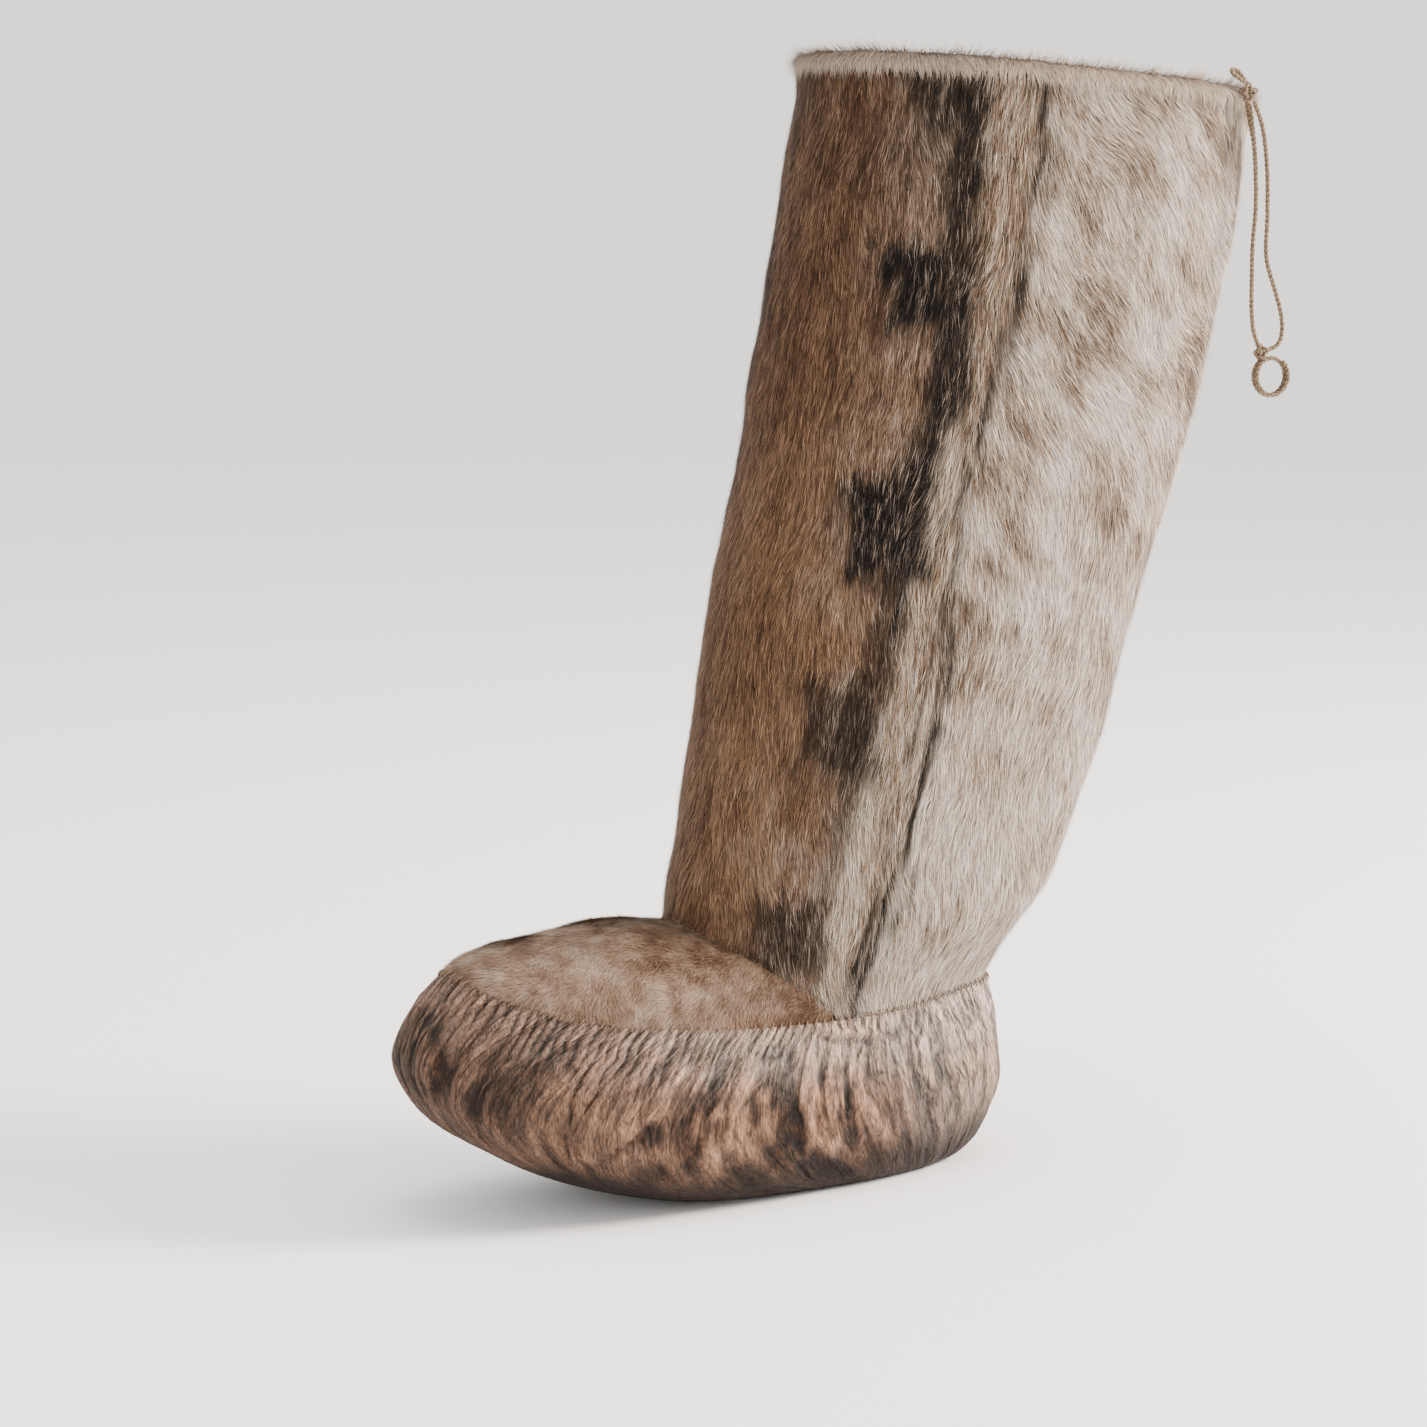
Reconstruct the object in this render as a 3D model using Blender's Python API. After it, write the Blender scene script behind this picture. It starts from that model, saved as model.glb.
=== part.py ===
# Knee-high mukluk for the left foot: a crimped hide sole, a fur vamp, a tall fur shaft,
# a rolled collar with its drawstring, and a felt insole.
# Metres, +Z up. The toe points to -Y, the outer side of the foot is +X, and the origin is
# on the floor, on the sole's flat tread, under the middle of the foot's length.
import math
from collections import namedtuple

import bmesh
import bpy
import numpy as np

# Foot
FOOT_LENGTH = 0.275  # toe to heel over the widest line of the sole
BALL_WIDTH = 0.110  # across the widest line of the sole
SIDE_SEAM_HEIGHT = 0.0725  # floor to the sole's top edge, beside the ankle
TOE_SEAM_HEIGHT = 0.0985  # floor to the sole's top edge, at the toe
SIDE_SWELL_HEIGHT = 0.040  # floor to the sole's widest line, at the side
TOE_SWELL_HEIGHT = 0.066
HEEL_SWELL_HEIGHT = 0.036
TOE_RAMP = 0.33  # how much of the toe's underside is a straight ramp, the rest is round
INSTEP_HEIGHT = 0.1110  # floor to the vamp's ridge where the shaft starts
SOLE_WALL = 0.0022  # crimped hide

# Shaft
BOOT_HEIGHT = 0.4545  # floor to the shaft's top edge at the shin
CALF_DEPTH = 0.210  # front to back at the collar
CALF_WIDTH = 0.124
COLLAR_DROP = 0.0155  # how much lower the collar is at the back
COLLAR_CURVE = 1.2  # 1 is a level cut that leans back, and more keeps the front flatter
FUR_WALL = 0.003  # skin with its hair lying flat
HEM_BLEND = 0.042  # height over which the shaft leaves its lower edge
HEM_END_RISE = 0.005  # width of the vamp's two ends
HEM_SLANT = math.radians(38)  # how steeply the hem's cut goes down and back at the ridge
HEM_AIM = 0.35  # where the hem's cut aims, behind the shin, as a share of CALF_DEPTH

# Collar and insole
CASING_WIDTH = 0.005  # the rolled top edge that the drawstring runs in
CASING_HEIGHT = 0.0048
CASING_SHOULDER = 0.55  # how high its sides stay upright, as a share of its height
CASING_TOP = 0.5  # width of its flat top, as a share of its width
INSOLE_THICKNESS = 0.003
SEAM_GAP = 0.0003  # between pieces that are sewn to each other
END_GAP = 0.0012  # between the vamp's ends and the shaft's first column behind them

# Crimps: the small pleats that gather the sole's edge
CRIMP_PITCH = 0.0046
CRIMP_DEPTH = 0.0018
CRIMP_LENGTH = 0.026
SLACK_AT = 0.055  # where the crimps are slackest, as a share of FOOT_LENGTH from the middle
SLACK_REACH = 0.06  # as a share of FOOT_LENGTH
SLACK_DEPTH = 0.65  # how much of the crimps' depth is lost there

# Drawstring
CORD_DIAMETER = 0.0018
KNOT_SIZE = 0.0085
RING_KNOT_SIZE = 0.0051
KNOT_RISE = 0.0029  # how high the knot's middle is above the casing's lower edge
RING_WIDTH = 0.0155  # the coiled end, across the middle of its cord
RING_PITCH = 0.0022  # between the turns of the coiled end
CORD_TURN = math.radians(130)  # where the cord leaves the collar: 0 is the shin, 180 the calf

# How finely the pieces are divided
VAMP_COLUMNS = 36
HEEL_COLUMNS = 34
VAMP_ROWS = 7
CURVE_STEPS = 1500  # for measuring along a curve
CORD_STEP = 0.0045  # between the points of a cord
SHARP_ANGLE = math.radians(40)
TURN_GAP = 0.01  # radians between the shaft's columns at the vamp's two ends

# Plan outlines of the foot. Toe, heel and widest place are shares of FOOT_LENGTH from the
# middle, half_width is a share of half the BALL_WIDTH, and roundness is the exponent of the
# superellipse: 2 is an ellipse, and more is squarer.
Outline = namedtuple("Outline", "toe heel widest half_width roundness")
SEAM = Outline(-0.426, 0.479, -0.048, 0.864, 2.2)
SWELL = Outline(-0.500, 0.500, -0.120, 1.000, 2.2)
TREAD = Outline(-0.120, 0.397, 0.090, 0.545, 2.4)

# Height of the sole's top edge. along: share of its length from toe to heel.
# rise: 0 at SIDE_SEAM_HEIGHT, 1 at TOE_SEAM_HEIGHT.
SeamHeight = namedtuple("SeamHeight", "along rise")
SEAM_LINE = (
    SeamHeight(0.00, 1.00),
    SeamHeight(0.03, 0.80),
    SeamHeight(0.09, 0.58),
    SeamHeight(0.16, 0.38),
    SeamHeight(0.32, 0.17),
    SeamHeight(0.49, 0.04),
    SeamHeight(0.60, 0.00),
    SeamHeight(0.75, 0.01),
    SeamHeight(0.90, 0.12),
    SeamHeight(1.00, 0.12),
)

# The vamp's ridge. along: share of the way from the toe's seam to the shaft.
# rise: 0 at TOE_SEAM_HEIGHT, 1 at INSTEP_HEIGHT.
RidgeHeight = namedtuple("RidgeHeight", "along rise")
VAMP_RIDGE = (
    RidgeHeight(0.00, 0.00),
    RidgeHeight(0.09, 0.48),
    RidgeHeight(0.23, 0.74),
    RidgeHeight(0.40, 0.92),
    RidgeHeight(0.57, 1.08),
    RidgeHeight(0.70, 1.20),
    RidgeHeight(0.85, 1.14),
    RidgeHeight(1.00, 1.00),
    RidgeHeight(1.50, 0.90),
)

# Where the shaft's hem crosses the foot: on the vamp's ridge and at its two corners near the
# seam, as shares of FOOT_LENGTH from the middle.
HEM_RIDGE = -0.062
HEM_CORNER = 0.113

# Level sections of the shaft. height is a share of BOOT_HEIGHT, middle a share of
# FOOT_LENGTH, depth of CALF_DEPTH and width of CALF_WIDTH.
ShaftSection = namedtuple("ShaftSection", "height middle depth width")
SHAFT_SECTIONS = (
    ShaftSection(0.165, 0.243, 0.630, 0.742),
    ShaftSection(0.211, 0.249, 0.730, 0.810),
    ShaftSection(0.264, 0.272, 0.810, 0.870),
    ShaftSection(0.319, 0.296, 0.867, 0.890),
    ShaftSection(0.407, 0.336, 0.905, 0.905),
    ShaftSection(0.528, 0.386, 0.948, 0.930),
    ShaftSection(0.660, 0.444, 0.972, 0.955),
    ShaftSection(0.825, 0.503, 0.990, 0.985),
    ShaftSection(1.000, 0.563, 1.000, 1.000),
)
SHAFT_ROUNDNESS = 2.3

# Where the rings of each piece lie. For the shaft they are shares of the way from its hem
# to its top. For the sole, side rings are shares from the widest line up to the seam, and
# under rings are shares from the tread out to the widest line.
SHAFT_RINGS = (0, 0.018, 0.045, 0.085, 0.14, 0.21, 0.31, 0.44, 0.58, 0.72, 0.86, 1)
SIDE_RINGS = (0.0, 0.14, 0.30)
UNDER_RINGS = (0.0, 0.22, 0.42, 0.60, 0.80)
CAVITY_SIDE_RINGS = (0.0, 0.35, 0.70)
CAVITY_UNDER_RINGS = (0.0, 0.22, 0.42, 0.68)
CRIMP_RINGS = (0.42, 0.68, 0.95)
INSOLE_RINGS = 3  # how many of the cavity's rings the insole covers, from the tread out
SIDE_CURVE = 1.6  # how the sole leans in above its widest line

# Drawstring routes, from the middle of the knot at the collar: across (+X), back (+Y) and up.
OUTER_STRAND = (
    (0.0010, 0.0026, -0.0038),
    (0.0015, 0.0062, -0.0130),
    (0.0010, 0.0098, -0.0308),
    (0.0005, 0.0109, -0.0497),
    (0.0000, 0.0116, -0.0700),
    (0.0005, 0.0157, -0.0817),
    (0.0010, 0.0188, -0.0921),
    (0.0010, 0.0194, -0.0985),
    (0.0005, 0.0178, -0.1040),
    (0.0000, 0.0126, -0.1066),
)
INNER_STRAND = (
    (-0.0005, 0.0010, -0.0047),
    (-0.0005, 0.0030, -0.0144),
    (-0.0010, 0.0053, -0.0310),
    (-0.0005, 0.0055, -0.0473),
    (0.0000, 0.0039, -0.0625),
    (0.0005, 0.0034, -0.0780),
    (0.0005, 0.0036, -0.0899),
    (0.0000, 0.0052, -0.0985),
    (0.0000, 0.0078, -0.1046),
)
TAIL = (
    (-0.0029, 0.0014, -0.0035),
    (-0.0040, 0.0040, -0.0110),
    (-0.0042, 0.0068, -0.0210),
    (-0.0038, 0.0080, -0.0332),
)
UPRIGHT_LOOP = (
    (0.0015, -0.0024, 0.0040),
    (0.0022, -0.0060, 0.0052),
    (0.0012, -0.0088, 0.0074),
    (-0.0008, -0.0080, 0.0092),
    (-0.0016, -0.0045, 0.0086),
    (-0.0010, -0.0010, 0.0047),
)
RING_KNOT = (0.0000, 0.0095, -0.1070)
RING_CENTRE = (0.0000, 0.0147, -0.1175)
RING_STEP = 30  # degrees
RING_STEPS = 22
RING_START = 116


def smooth_curve(xs, values, at):
    """A smooth curve through values given at xs, which goes on straight past its two ends."""
    slopes = np.gradient(values, xs, axis=0)
    if at < xs[0]:
        return values[0] + slopes[0] * (at - xs[0])
    if at > xs[-1]:
        return values[-1] + slopes[-1] * (at - xs[-1])
    i = min(max(int(np.searchsorted(xs, at)) - 1, 0), len(xs) - 2)
    step = xs[i + 1] - xs[i]
    t = (at - xs[i]) / step
    return (
        (1 + 2 * t) * (1 - t) ** 2 * values[i]
        + t * (1 - t) ** 2 * step * slopes[i]
        + t * t * (3 - 2 * t) * values[i + 1]
        - t * t * (1 - t) * step * slopes[i + 1]
    )


def smooth(table, column, at):
    """A smooth curve through one column of a table, read at a value of its first column."""
    return smooth_curve([row[0] for row in table], [getattr(row, column) for row in table], at)


def signed_power(value, power):
    return math.copysign(abs(value) ** power, value)


def evenly(curve, start, stop, count):
    """Parameters that divide a curve into count stretches of equal length."""
    steps = np.linspace(start, stop, CURVE_STEPS)
    points = np.array([curve(s) for s in steps])
    lengths = np.linalg.norm(np.diff(points, axis=0), axis=1)
    along = np.concatenate([[0], np.cumsum(lengths)])
    return np.interp(np.linspace(0, along[-1], count + 1), along, steps)


# The foot's outlines. An angle of 0 is the toe, a quarter turn is the outer side.
def outline_point(outline, angle):
    power = 2 / outline.roundness
    along = signed_power(math.cos(angle), power)
    across = signed_power(math.sin(angle), power)
    end = outline.toe if along > 0 else outline.heel
    y = outline.widest + abs(along) * (end - outline.widest)
    half_width = outline.half_width * BALL_WIDTH / 2
    return np.array([half_width * across, FOOT_LENGTH * y])


def outline_angle(outline, y):
    """The angle at which the outer half of an outline passes y."""
    share = y / FOOT_LENGTH - outline.widest
    end = outline.toe if share < 0 else outline.heel
    reach = min(abs(share / (end - outline.widest)), 1.0)
    cosine = reach ** (outline.roundness / 2)
    return math.acos(cosine if share < 0 else -cosine)


def half_width_at(outline, y):
    return abs(outline_point(outline, outline_angle(outline, y))[0])


def seam_height(y):
    along = (y / FOOT_LENGTH - SEAM.toe) / (SEAM.heel - SEAM.toe)
    rise = smooth(SEAM_LINE, "rise", min(max(along, 0.0), 1.0))
    return SIDE_SEAM_HEIGHT + rise * (TOE_SEAM_HEIGHT - SIDE_SEAM_HEIGHT)


def seam_point(angle):
    x, y = outline_point(SEAM, angle)
    return np.array([x, y, seam_height(y)])


def inward_from_seam(angle):
    """The level direction from the seam towards the inside of the boot."""
    ahead = outline_point(SEAM, angle + 0.001)
    behind = outline_point(SEAM, angle - 0.001)
    tangent = (ahead - behind) / np.linalg.norm(ahead - behind)
    return np.array([-tangent[1], tangent[0], 0.0])


def swell_height(angle):
    end = TOE_SWELL_HEIGHT if math.cos(angle) > 0 else HEEL_SWELL_HEIGHT
    return SIDE_SWELL_HEIGHT + (end - SIDE_SWELL_HEIGHT) * math.cos(angle) ** 2


def side_point(angle, share):
    """A point of the sole between its widest line, share 0, and the seam, share 1."""
    low = outline_point(SWELL, angle)
    x, y = low + (outline_point(SEAM, angle) - low) * share**SIDE_CURVE
    bottom = swell_height(angle)
    return np.array([x, y, bottom + share * (seam_point(angle)[2] - bottom)])


def under_point(angle, share):
    """A point of the sole between its flat tread, share 0, and its widest line, share 1."""
    inner = outline_point(TREAD, angle)
    turn = share * math.pi / 2
    out = math.sin(turn)
    x, y = inner + (outline_point(SWELL, angle) - inner) * out
    ramp = TOE_RAMP * max(math.cos(angle), 0.0)
    rise = ramp * out + (1 - ramp) * (1 - math.cos(turn))
    return np.array([x, y, swell_height(angle) * rise])


def ridge_height(y):
    toe, shaft = SEAM.toe * FOOT_LENGTH, HEM_RIDGE * FOOT_LENGTH
    rise = smooth(VAMP_RIDGE, "rise", (y - toe) / (shaft - toe))
    return TOE_SEAM_HEIGHT + rise * (INSTEP_HEIGHT - TOE_SEAM_HEIGHT)


def vamp_height(x, y):
    """The vamp's outer surface: an arched section at each place along the foot."""
    edge = seam_height(y)
    share = min(abs(x) / max(half_width_at(SEAM, y), 1e-6), 1.0)
    return edge + (ridge_height(y) - edge) * math.sqrt(1 - share * share)


def corner_angle():
    return outline_angle(SEAM, HEM_CORNER * FOOT_LENGTH)


def hem_point(share):
    """The line where shaft and vamp meet: 0 on the ridge, 1 and -1 at its two corners. Seen
    from the side it is straight, from the ridge down to a short way above the seam."""
    corner_y, ridge_y = HEM_CORNER * FOOT_LENGTH, HEM_RIDGE * FOOT_LENGTH
    last = math.acos(HEM_END_RISE / (ridge_height(corner_y) - seam_height(corner_y)))
    turn = share * last
    y = ridge_y + (corner_y - ridge_y) * (1 - math.cos(turn)) / (1 - math.cos(last))
    x = half_width_at(SEAM, y) * math.sin(turn)
    return np.array([x, y, vamp_height(x, y) + SEAM_GAP])


def shaft_point(turn, height):
    """A point of the shaft's outer surface: a turn of 0 is the shin, pi is the calf."""
    at = height / BOOT_HEIGHT
    half_depth = smooth(SHAFT_SECTIONS, "depth", at) * CALF_DEPTH / 2
    half_width = smooth(SHAFT_SECTIONS, "width", at) * CALF_WIDTH / 2
    middle = smooth(SHAFT_SECTIONS, "middle", at) * FOOT_LENGTH
    power = 2 / SHAFT_ROUNDNESS
    x = half_width * signed_power(math.sin(turn), power)
    y = middle - half_depth * signed_power(math.cos(turn), power)
    return np.array([x, y, height])


def collar_height(turn):
    """The collar is highest at the shin and sinks towards the calf."""
    share = (1 - math.cos(turn)) / 2
    return BOOT_HEIGHT - COLLAR_DROP * share**COLLAR_CURVE


# Columns that sole, vamp and shaft share, so that their edges run side by side.
def seam_columns():
    corner = corner_angle()
    front = evenly(seam_point, -corner, corner, VAMP_COLUMNS)
    notch = END_GAP / half_width_at(SEAM, HEM_CORNER * FOOT_LENGTH)
    back = evenly(seam_point, corner + notch, 2 * math.pi - corner - notch, HEEL_COLUMNS)
    return list(front), list(back)


def normals_of(grid, closed):
    """Unit normals at the points of a grid whose columns are its second index."""
    if closed:
        across = np.roll(grid, -1, axis=1) - np.roll(grid, 1, axis=1)
    else:
        across = np.gradient(grid, axis=1)
    along = np.gradient(grid, axis=0)
    normal = np.cross(across, along)
    return normal / np.maximum(np.linalg.norm(normal, axis=2, keepdims=True), 1e-12)


def bridge(low, high, low_start, high_start, low_at, high_at):
    """Faces between two closed rings, which may differ in their number of points."""
    faces = []
    i = j = 0
    n, m = len(low), len(high)
    while i < n or j < m:
        next_low = low_at[i + 1] if i + 1 < n else low_at[0] + 2 * math.pi
        next_high = high_at[j + 1] if j + 1 < m else high_at[0] + 2 * math.pi
        a, b = low_start + i % n, high_start + j % m
        both = i < n and j < m and abs(next_low - next_high) < 1e-9
        if both:
            faces.append((a, low_start + (i + 1) % n, high_start + (j + 1) % m, b))
            i += 1
            j += 1
        elif j >= m or (i < n and next_low < next_high):
            faces.append((a, low_start + (i + 1) % n, b))
            i += 1
        else:
            faces.append((a, high_start + (j + 1) % m, b))
            j += 1
    return faces


def ring_body(rings, closed_tube=False):
    """A solid from closed rings of (points, angles). A tube joins its last ring to its first,
    and any other body is closed by flat faces over its two end rings."""
    points, starts = [], []
    for ring, _ in rings:
        starts.append(len(points))
        points.extend(ring)
    faces = []
    pairs = list(zip(range(len(rings)), range(1, len(rings))))
    if closed_tube:
        pairs.append((len(rings) - 1, 0))
    for a, b in pairs:
        faces += bridge(
            rings[a][0], rings[b][0], starts[a], starts[b], rings[a][1], rings[b][1]
        )
    if not closed_tube:
        faces.append(tuple(range(len(rings[0][0])))[::-1])
        faces.append(tuple(starts[-1] + i for i in range(len(rings[-1][0]))))
    return points, faces


# Objects, materials and the collection.
def material(name, colour, roughness):
    made = bpy.data.materials.new(name)
    made.use_nodes = True
    shader = made.node_tree.nodes["Principled BSDF"]
    shader.inputs["Base Color"].default_value = (*colour, 1)
    shader.inputs["Roughness"].default_value = roughness
    shader.inputs["Metallic"].default_value = 0
    made.diffuse_color = (*colour, 1)
    return made


def solid(name, points, faces, made_of, collection):
    """One named object from the points and faces of a closed body, smooth but for its edges."""
    mesh = bpy.data.meshes.new(name)
    mesh.from_pydata([tuple(p) for p in points], [], faces)
    work = bmesh.new()
    work.from_mesh(mesh)
    bmesh.ops.recalc_face_normals(work, faces=work.faces)
    work.to_mesh(mesh)
    work.free()
    mesh.shade_smooth()
    mesh.set_sharp_from_angle(angle=SHARP_ANGLE)
    mesh.materials.append(made_of)
    placed = bpy.data.objects.new(name, mesh)
    collection.objects.link(placed)
    return placed


# Sole: a hide bag with a flat tread, gathered by crimps along its top edge.
def crimp_strength(y):
    """The crimps are full at toe and heel and slack beside the ankle."""
    slack = math.exp(-(((y / FOOT_LENGTH - SLACK_AT) / SLACK_REACH) ** 2))
    return 1 - SLACK_DEPTH * slack


def crimp_ring(share, angles):
    ring = []
    for i, angle in enumerate(angles):
        point = side_point(angle, share)
        depth = point[2] - side_point(angle, 1)[2]
        fade = max(0.0, 1 + depth / CRIMP_LENGTH)
        swing = CRIMP_DEPTH / 2 * (1 if i % 2 else -1) * fade * crimp_strength(point[1])
        ring.append(point - inward_from_seam(angle) * swing)
    return ring


def cavity_rings(angles, offset):
    """The sole's smooth surface moved inwards: rings from the tread up to the seam."""
    shares = [(under_point, s) for s in CAVITY_UNDER_RINGS]
    shares += [(side_point, s) for s in CAVITY_SIDE_RINGS]
    grid = np.array([[point(a, s) for a in angles] for point, s in shares])
    return grid - normals_of(grid, closed=True) * offset


def make_sole(collection):
    front, back = seam_columns()
    angles = front + back
    edge = [outline_point(SEAM, a) for a in angles + angles[:1]]
    perimeter = sum(np.linalg.norm(np.diff(edge, axis=0), axis=1))
    crimps = round(perimeter / CRIMP_PITCH)
    fine = list(evenly(seam_point, angles[0], angles[0] + 2 * math.pi, 2 * crimps)[:-1])

    inside = cavity_rings(angles, SOLE_WALL + CRIMP_DEPTH / 2)
    inside[0, :, 2] = SOLE_WALL
    rings = [(list(r), angles) for r in inside]
    seam = [seam_point(a) for a in angles]
    rim = [p + inward_from_seam(a) * SOLE_WALL for p, a in zip(seam, angles)]
    rings.append((rim, angles))
    rings.append((seam, angles))
    for share in reversed(CRIMP_RINGS):
        rings.append((crimp_ring(share, fine), fine))
    for share in reversed(SIDE_RINGS):
        rings.append(([side_point(a, share) for a in angles], angles))
    for share in reversed(UNDER_RINGS):
        rings.append(([under_point(a, share) for a in angles], angles))
    points, faces = ring_body(rings)
    hide = material("crimped_hide", (0.16, 0.095, 0.07), 0.6)
    return solid("sole", points, faces, hide, collection)


def make_insole(collection):
    front, back = seam_columns()
    angles = (front + back)[::2]
    under = SOLE_WALL + CRIMP_DEPTH / 2 + SEAM_GAP * 2
    bottom = cavity_rings(angles, under)[:INSOLE_RINGS]
    top = cavity_rings(angles, under + INSOLE_THICKNESS)[:INSOLE_RINGS]
    bottom[0, :, 2] = SOLE_WALL + SEAM_GAP
    top[0, :, 2] = SOLE_WALL + SEAM_GAP + INSOLE_THICKNESS
    rings = [(list(r), angles) for r in bottom] + [(list(r), angles) for r in top[::-1]]
    points, faces = ring_body(rings)
    felt = material("wool_felt", (0.32, 0.28, 0.22), 0.95)
    return solid("insole", points, faces, felt, collection)


# Vamp and shaft: both start from the same hem, cut through on the same slant.
def hem_columns():
    return evenly(hem_point, -1, 1, VAMP_COLUMNS)


def hem_slant(share):
    """The direction from the hem's outer edge to its inner edge: level at the corners,
    and down and back at the ridge."""
    ankle = np.array([0.0, shaft_point(0, INSTEP_HEIGHT)[1] + CALF_DEPTH * HEM_AIM])
    level = ankle - hem_point(share)[:2]
    level /= np.linalg.norm(level)
    tilt = HEM_SLANT * (1 - share * share)
    return np.array([*(level * math.cos(tilt)), -math.sin(tilt)])


def hem_edges():
    """The vamp's outer and inner edge at the hem, and the shaft's, one gap above them."""
    shares = hem_columns()
    outer = np.array([hem_point(s) for s in shares])
    slant = np.array([hem_slant(s) for s in shares])
    inner = outer + slant * FUR_WALL / math.cos(HEM_SLANT)
    above = np.cross(np.gradient(outer, axis=0), slant)
    above /= np.linalg.norm(above, axis=1, keepdims=True)
    return outer, inner, outer + above * SEAM_GAP, inner + above * SEAM_GAP


def make_vamp(collection):
    front, _ = seam_columns()
    hem_outer, hem_inner, _, _ = hem_edges()
    toe_edge = [seam_point(a) + [0, 0, SEAM_GAP] for a in front]
    outer = np.zeros((VAMP_ROWS + 1, VAMP_COLUMNS + 1, 3))
    for row in range(VAMP_ROWS + 1):
        share = 1 - math.cos(math.pi / 2 * row / VAMP_ROWS)
        for column in range(VAMP_COLUMNS + 1):
            start, end = toe_edge[column], hem_outer[column]
            x, y = start[:2] + (end[:2] - start[:2]) * share
            outer[row, column] = (x, y, vamp_height(x, y) + SEAM_GAP)
    outer[0] = toe_edge
    outer[-1] = hem_outer
    inner = outer - normals_of(outer, closed=False) * FUR_WALL
    for column, angle in enumerate(front):
        inner[0, column] = outer[0, column] + inward_from_seam(angle) * FUR_WALL
        inner[:, column, 2] = np.maximum(inner[:, column, 2], outer[0, column, 2])
    for column in (0, VAMP_COLUMNS):
        inner[:, column] = outer[:, column] + inward_from_seam(front[column]) * FUR_WALL
    inner[-1] = hem_inner
    count = VAMP_COLUMNS + 1
    points = list(outer.reshape(-1, 3)) + list(inner.reshape(-1, 3))
    shift = count * (VAMP_ROWS + 1)
    faces = []
    for row in range(VAMP_ROWS):
        for column in range(VAMP_COLUMNS):
            a = row * count + column
            quad = (a, a + 1, a + 1 + count, a + count)
            faces.append(quad)
            faces.append(tuple(shift + v for v in reversed(quad)))
    for column in range(VAMP_COLUMNS):
        for row in (0, VAMP_ROWS):
            a = row * count + column
            faces.append((a, a + 1, a + 1 + shift, a + shift))
    for row in range(VAMP_ROWS):
        for column in (0, VAMP_COLUMNS):
            a = row * count + column
            faces.append((a, a + count, a + count + shift, a + shift))
    fur = material("vamp_fur", (0.27, 0.22, 0.16), 0.75)
    return solid("vamp", points, faces, fur, collection)


def shaft_columns():
    """For each column of the shaft: its turn, and the outer and inner end of its lower edge."""
    _, back = seam_columns()
    _, _, hem_outer, hem_inner = hem_edges()
    seam_level = seam_height(HEM_CORNER * FOOT_LENGTH)
    middle = shaft_point(math.pi / 2, seam_level)[1]
    front_reach = middle - shaft_point(0, seam_level)[1]
    share = (middle - HEM_CORNER * FOOT_LENGTH) / front_reach
    corner = math.acos(min(share, 1.0) ** (SHAFT_ROUNDNESS / 2))
    turns = list(np.linspace(-corner, corner, VAMP_COLUMNS + 1))
    start = corner + TURN_GAP
    turns += list(np.linspace(start, 2 * math.pi - start, HEEL_COLUMNS + 1))
    outer = list(hem_outer)
    inner = list(hem_inner)
    for angle in back:
        edge = seam_point(angle) + [0, 0, SEAM_GAP]
        outer.append(edge)
        inner.append(edge + inward_from_seam(angle) * FUR_WALL)
    return turns, outer, inner


def shaft_grid():
    """The shaft's outer surface, ring by ring from the hem to the top edge."""
    turns, feet, _ = shaft_columns()
    grid = np.zeros((len(SHAFT_RINGS), len(turns), 3))
    for column, (turn, foot) in enumerate(zip(turns, feet)):
        shift = foot - shaft_point(turn, foot[2])
        top = collar_height(turn)
        for row, share in enumerate(SHAFT_RINGS):
            height = foot[2] + (top - foot[2]) * share
            left = max(0.0, 1 - (height - foot[2]) / HEM_BLEND)
            fade = left * left * (3 - 2 * left)
            grid[row, column] = shaft_point(turn, height) + shift * fade
        grid[0, column] = foot
    return turns, grid


def make_shaft(collection):
    turns, outer = shaft_grid()
    _, _, lower_inner = shaft_columns()
    normals = normals_of(outer, closed=True)
    inner = outer - normals * FUR_WALL
    level = normals[-1].copy()
    level[:, 2] = 0
    level /= np.linalg.norm(level, axis=1, keepdims=True)
    inner[-1] = outer[-1] - level * FUR_WALL
    inner[0] = lower_inner
    rings = [(list(r), turns) for r in outer] + [(list(r), turns) for r in inner[::-1]]
    points, faces = ring_body(rings, closed_tube=True)
    fur = material("shaft_fur", (0.25, 0.19, 0.14), 0.75)
    return solid("shaft", points, faces, fur, collection)


# Collar: the shaft's top edge rolled over the drawstring.
def collar_line():
    """The middle of the shaft's top edge, and the level direction out of the boot."""
    turns, outer = shaft_grid()
    outward = normals_of(outer, closed=True)[-1]
    outward[:, 2] = 0
    outward /= np.linalg.norm(outward, axis=1, keepdims=True)
    return turns, outer[-1] - outward * FUR_WALL / 2, outward


def make_casing(collection):
    turns, middle, outward = collar_line()
    half, high = CASING_WIDTH / 2, CASING_HEIGHT
    section = (
        (half, 0.0),
        (half, high * CASING_SHOULDER),
        (half * CASING_TOP, high),
        (-half * CASING_TOP, high),
        (-half, high * CASING_SHOULDER),
        (-half, 0.0),
    )
    rings = []
    for out, up in section:
        ring = middle + outward * out + [0, 0, up + SEAM_GAP]
        rings.append((list(ring), turns))
    points, faces = ring_body(rings, closed_tube=True)
    skin = material("casing_hide", (0.45, 0.37, 0.28), 0.8)
    return solid("casing", points, faces, skin, collection)


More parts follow.
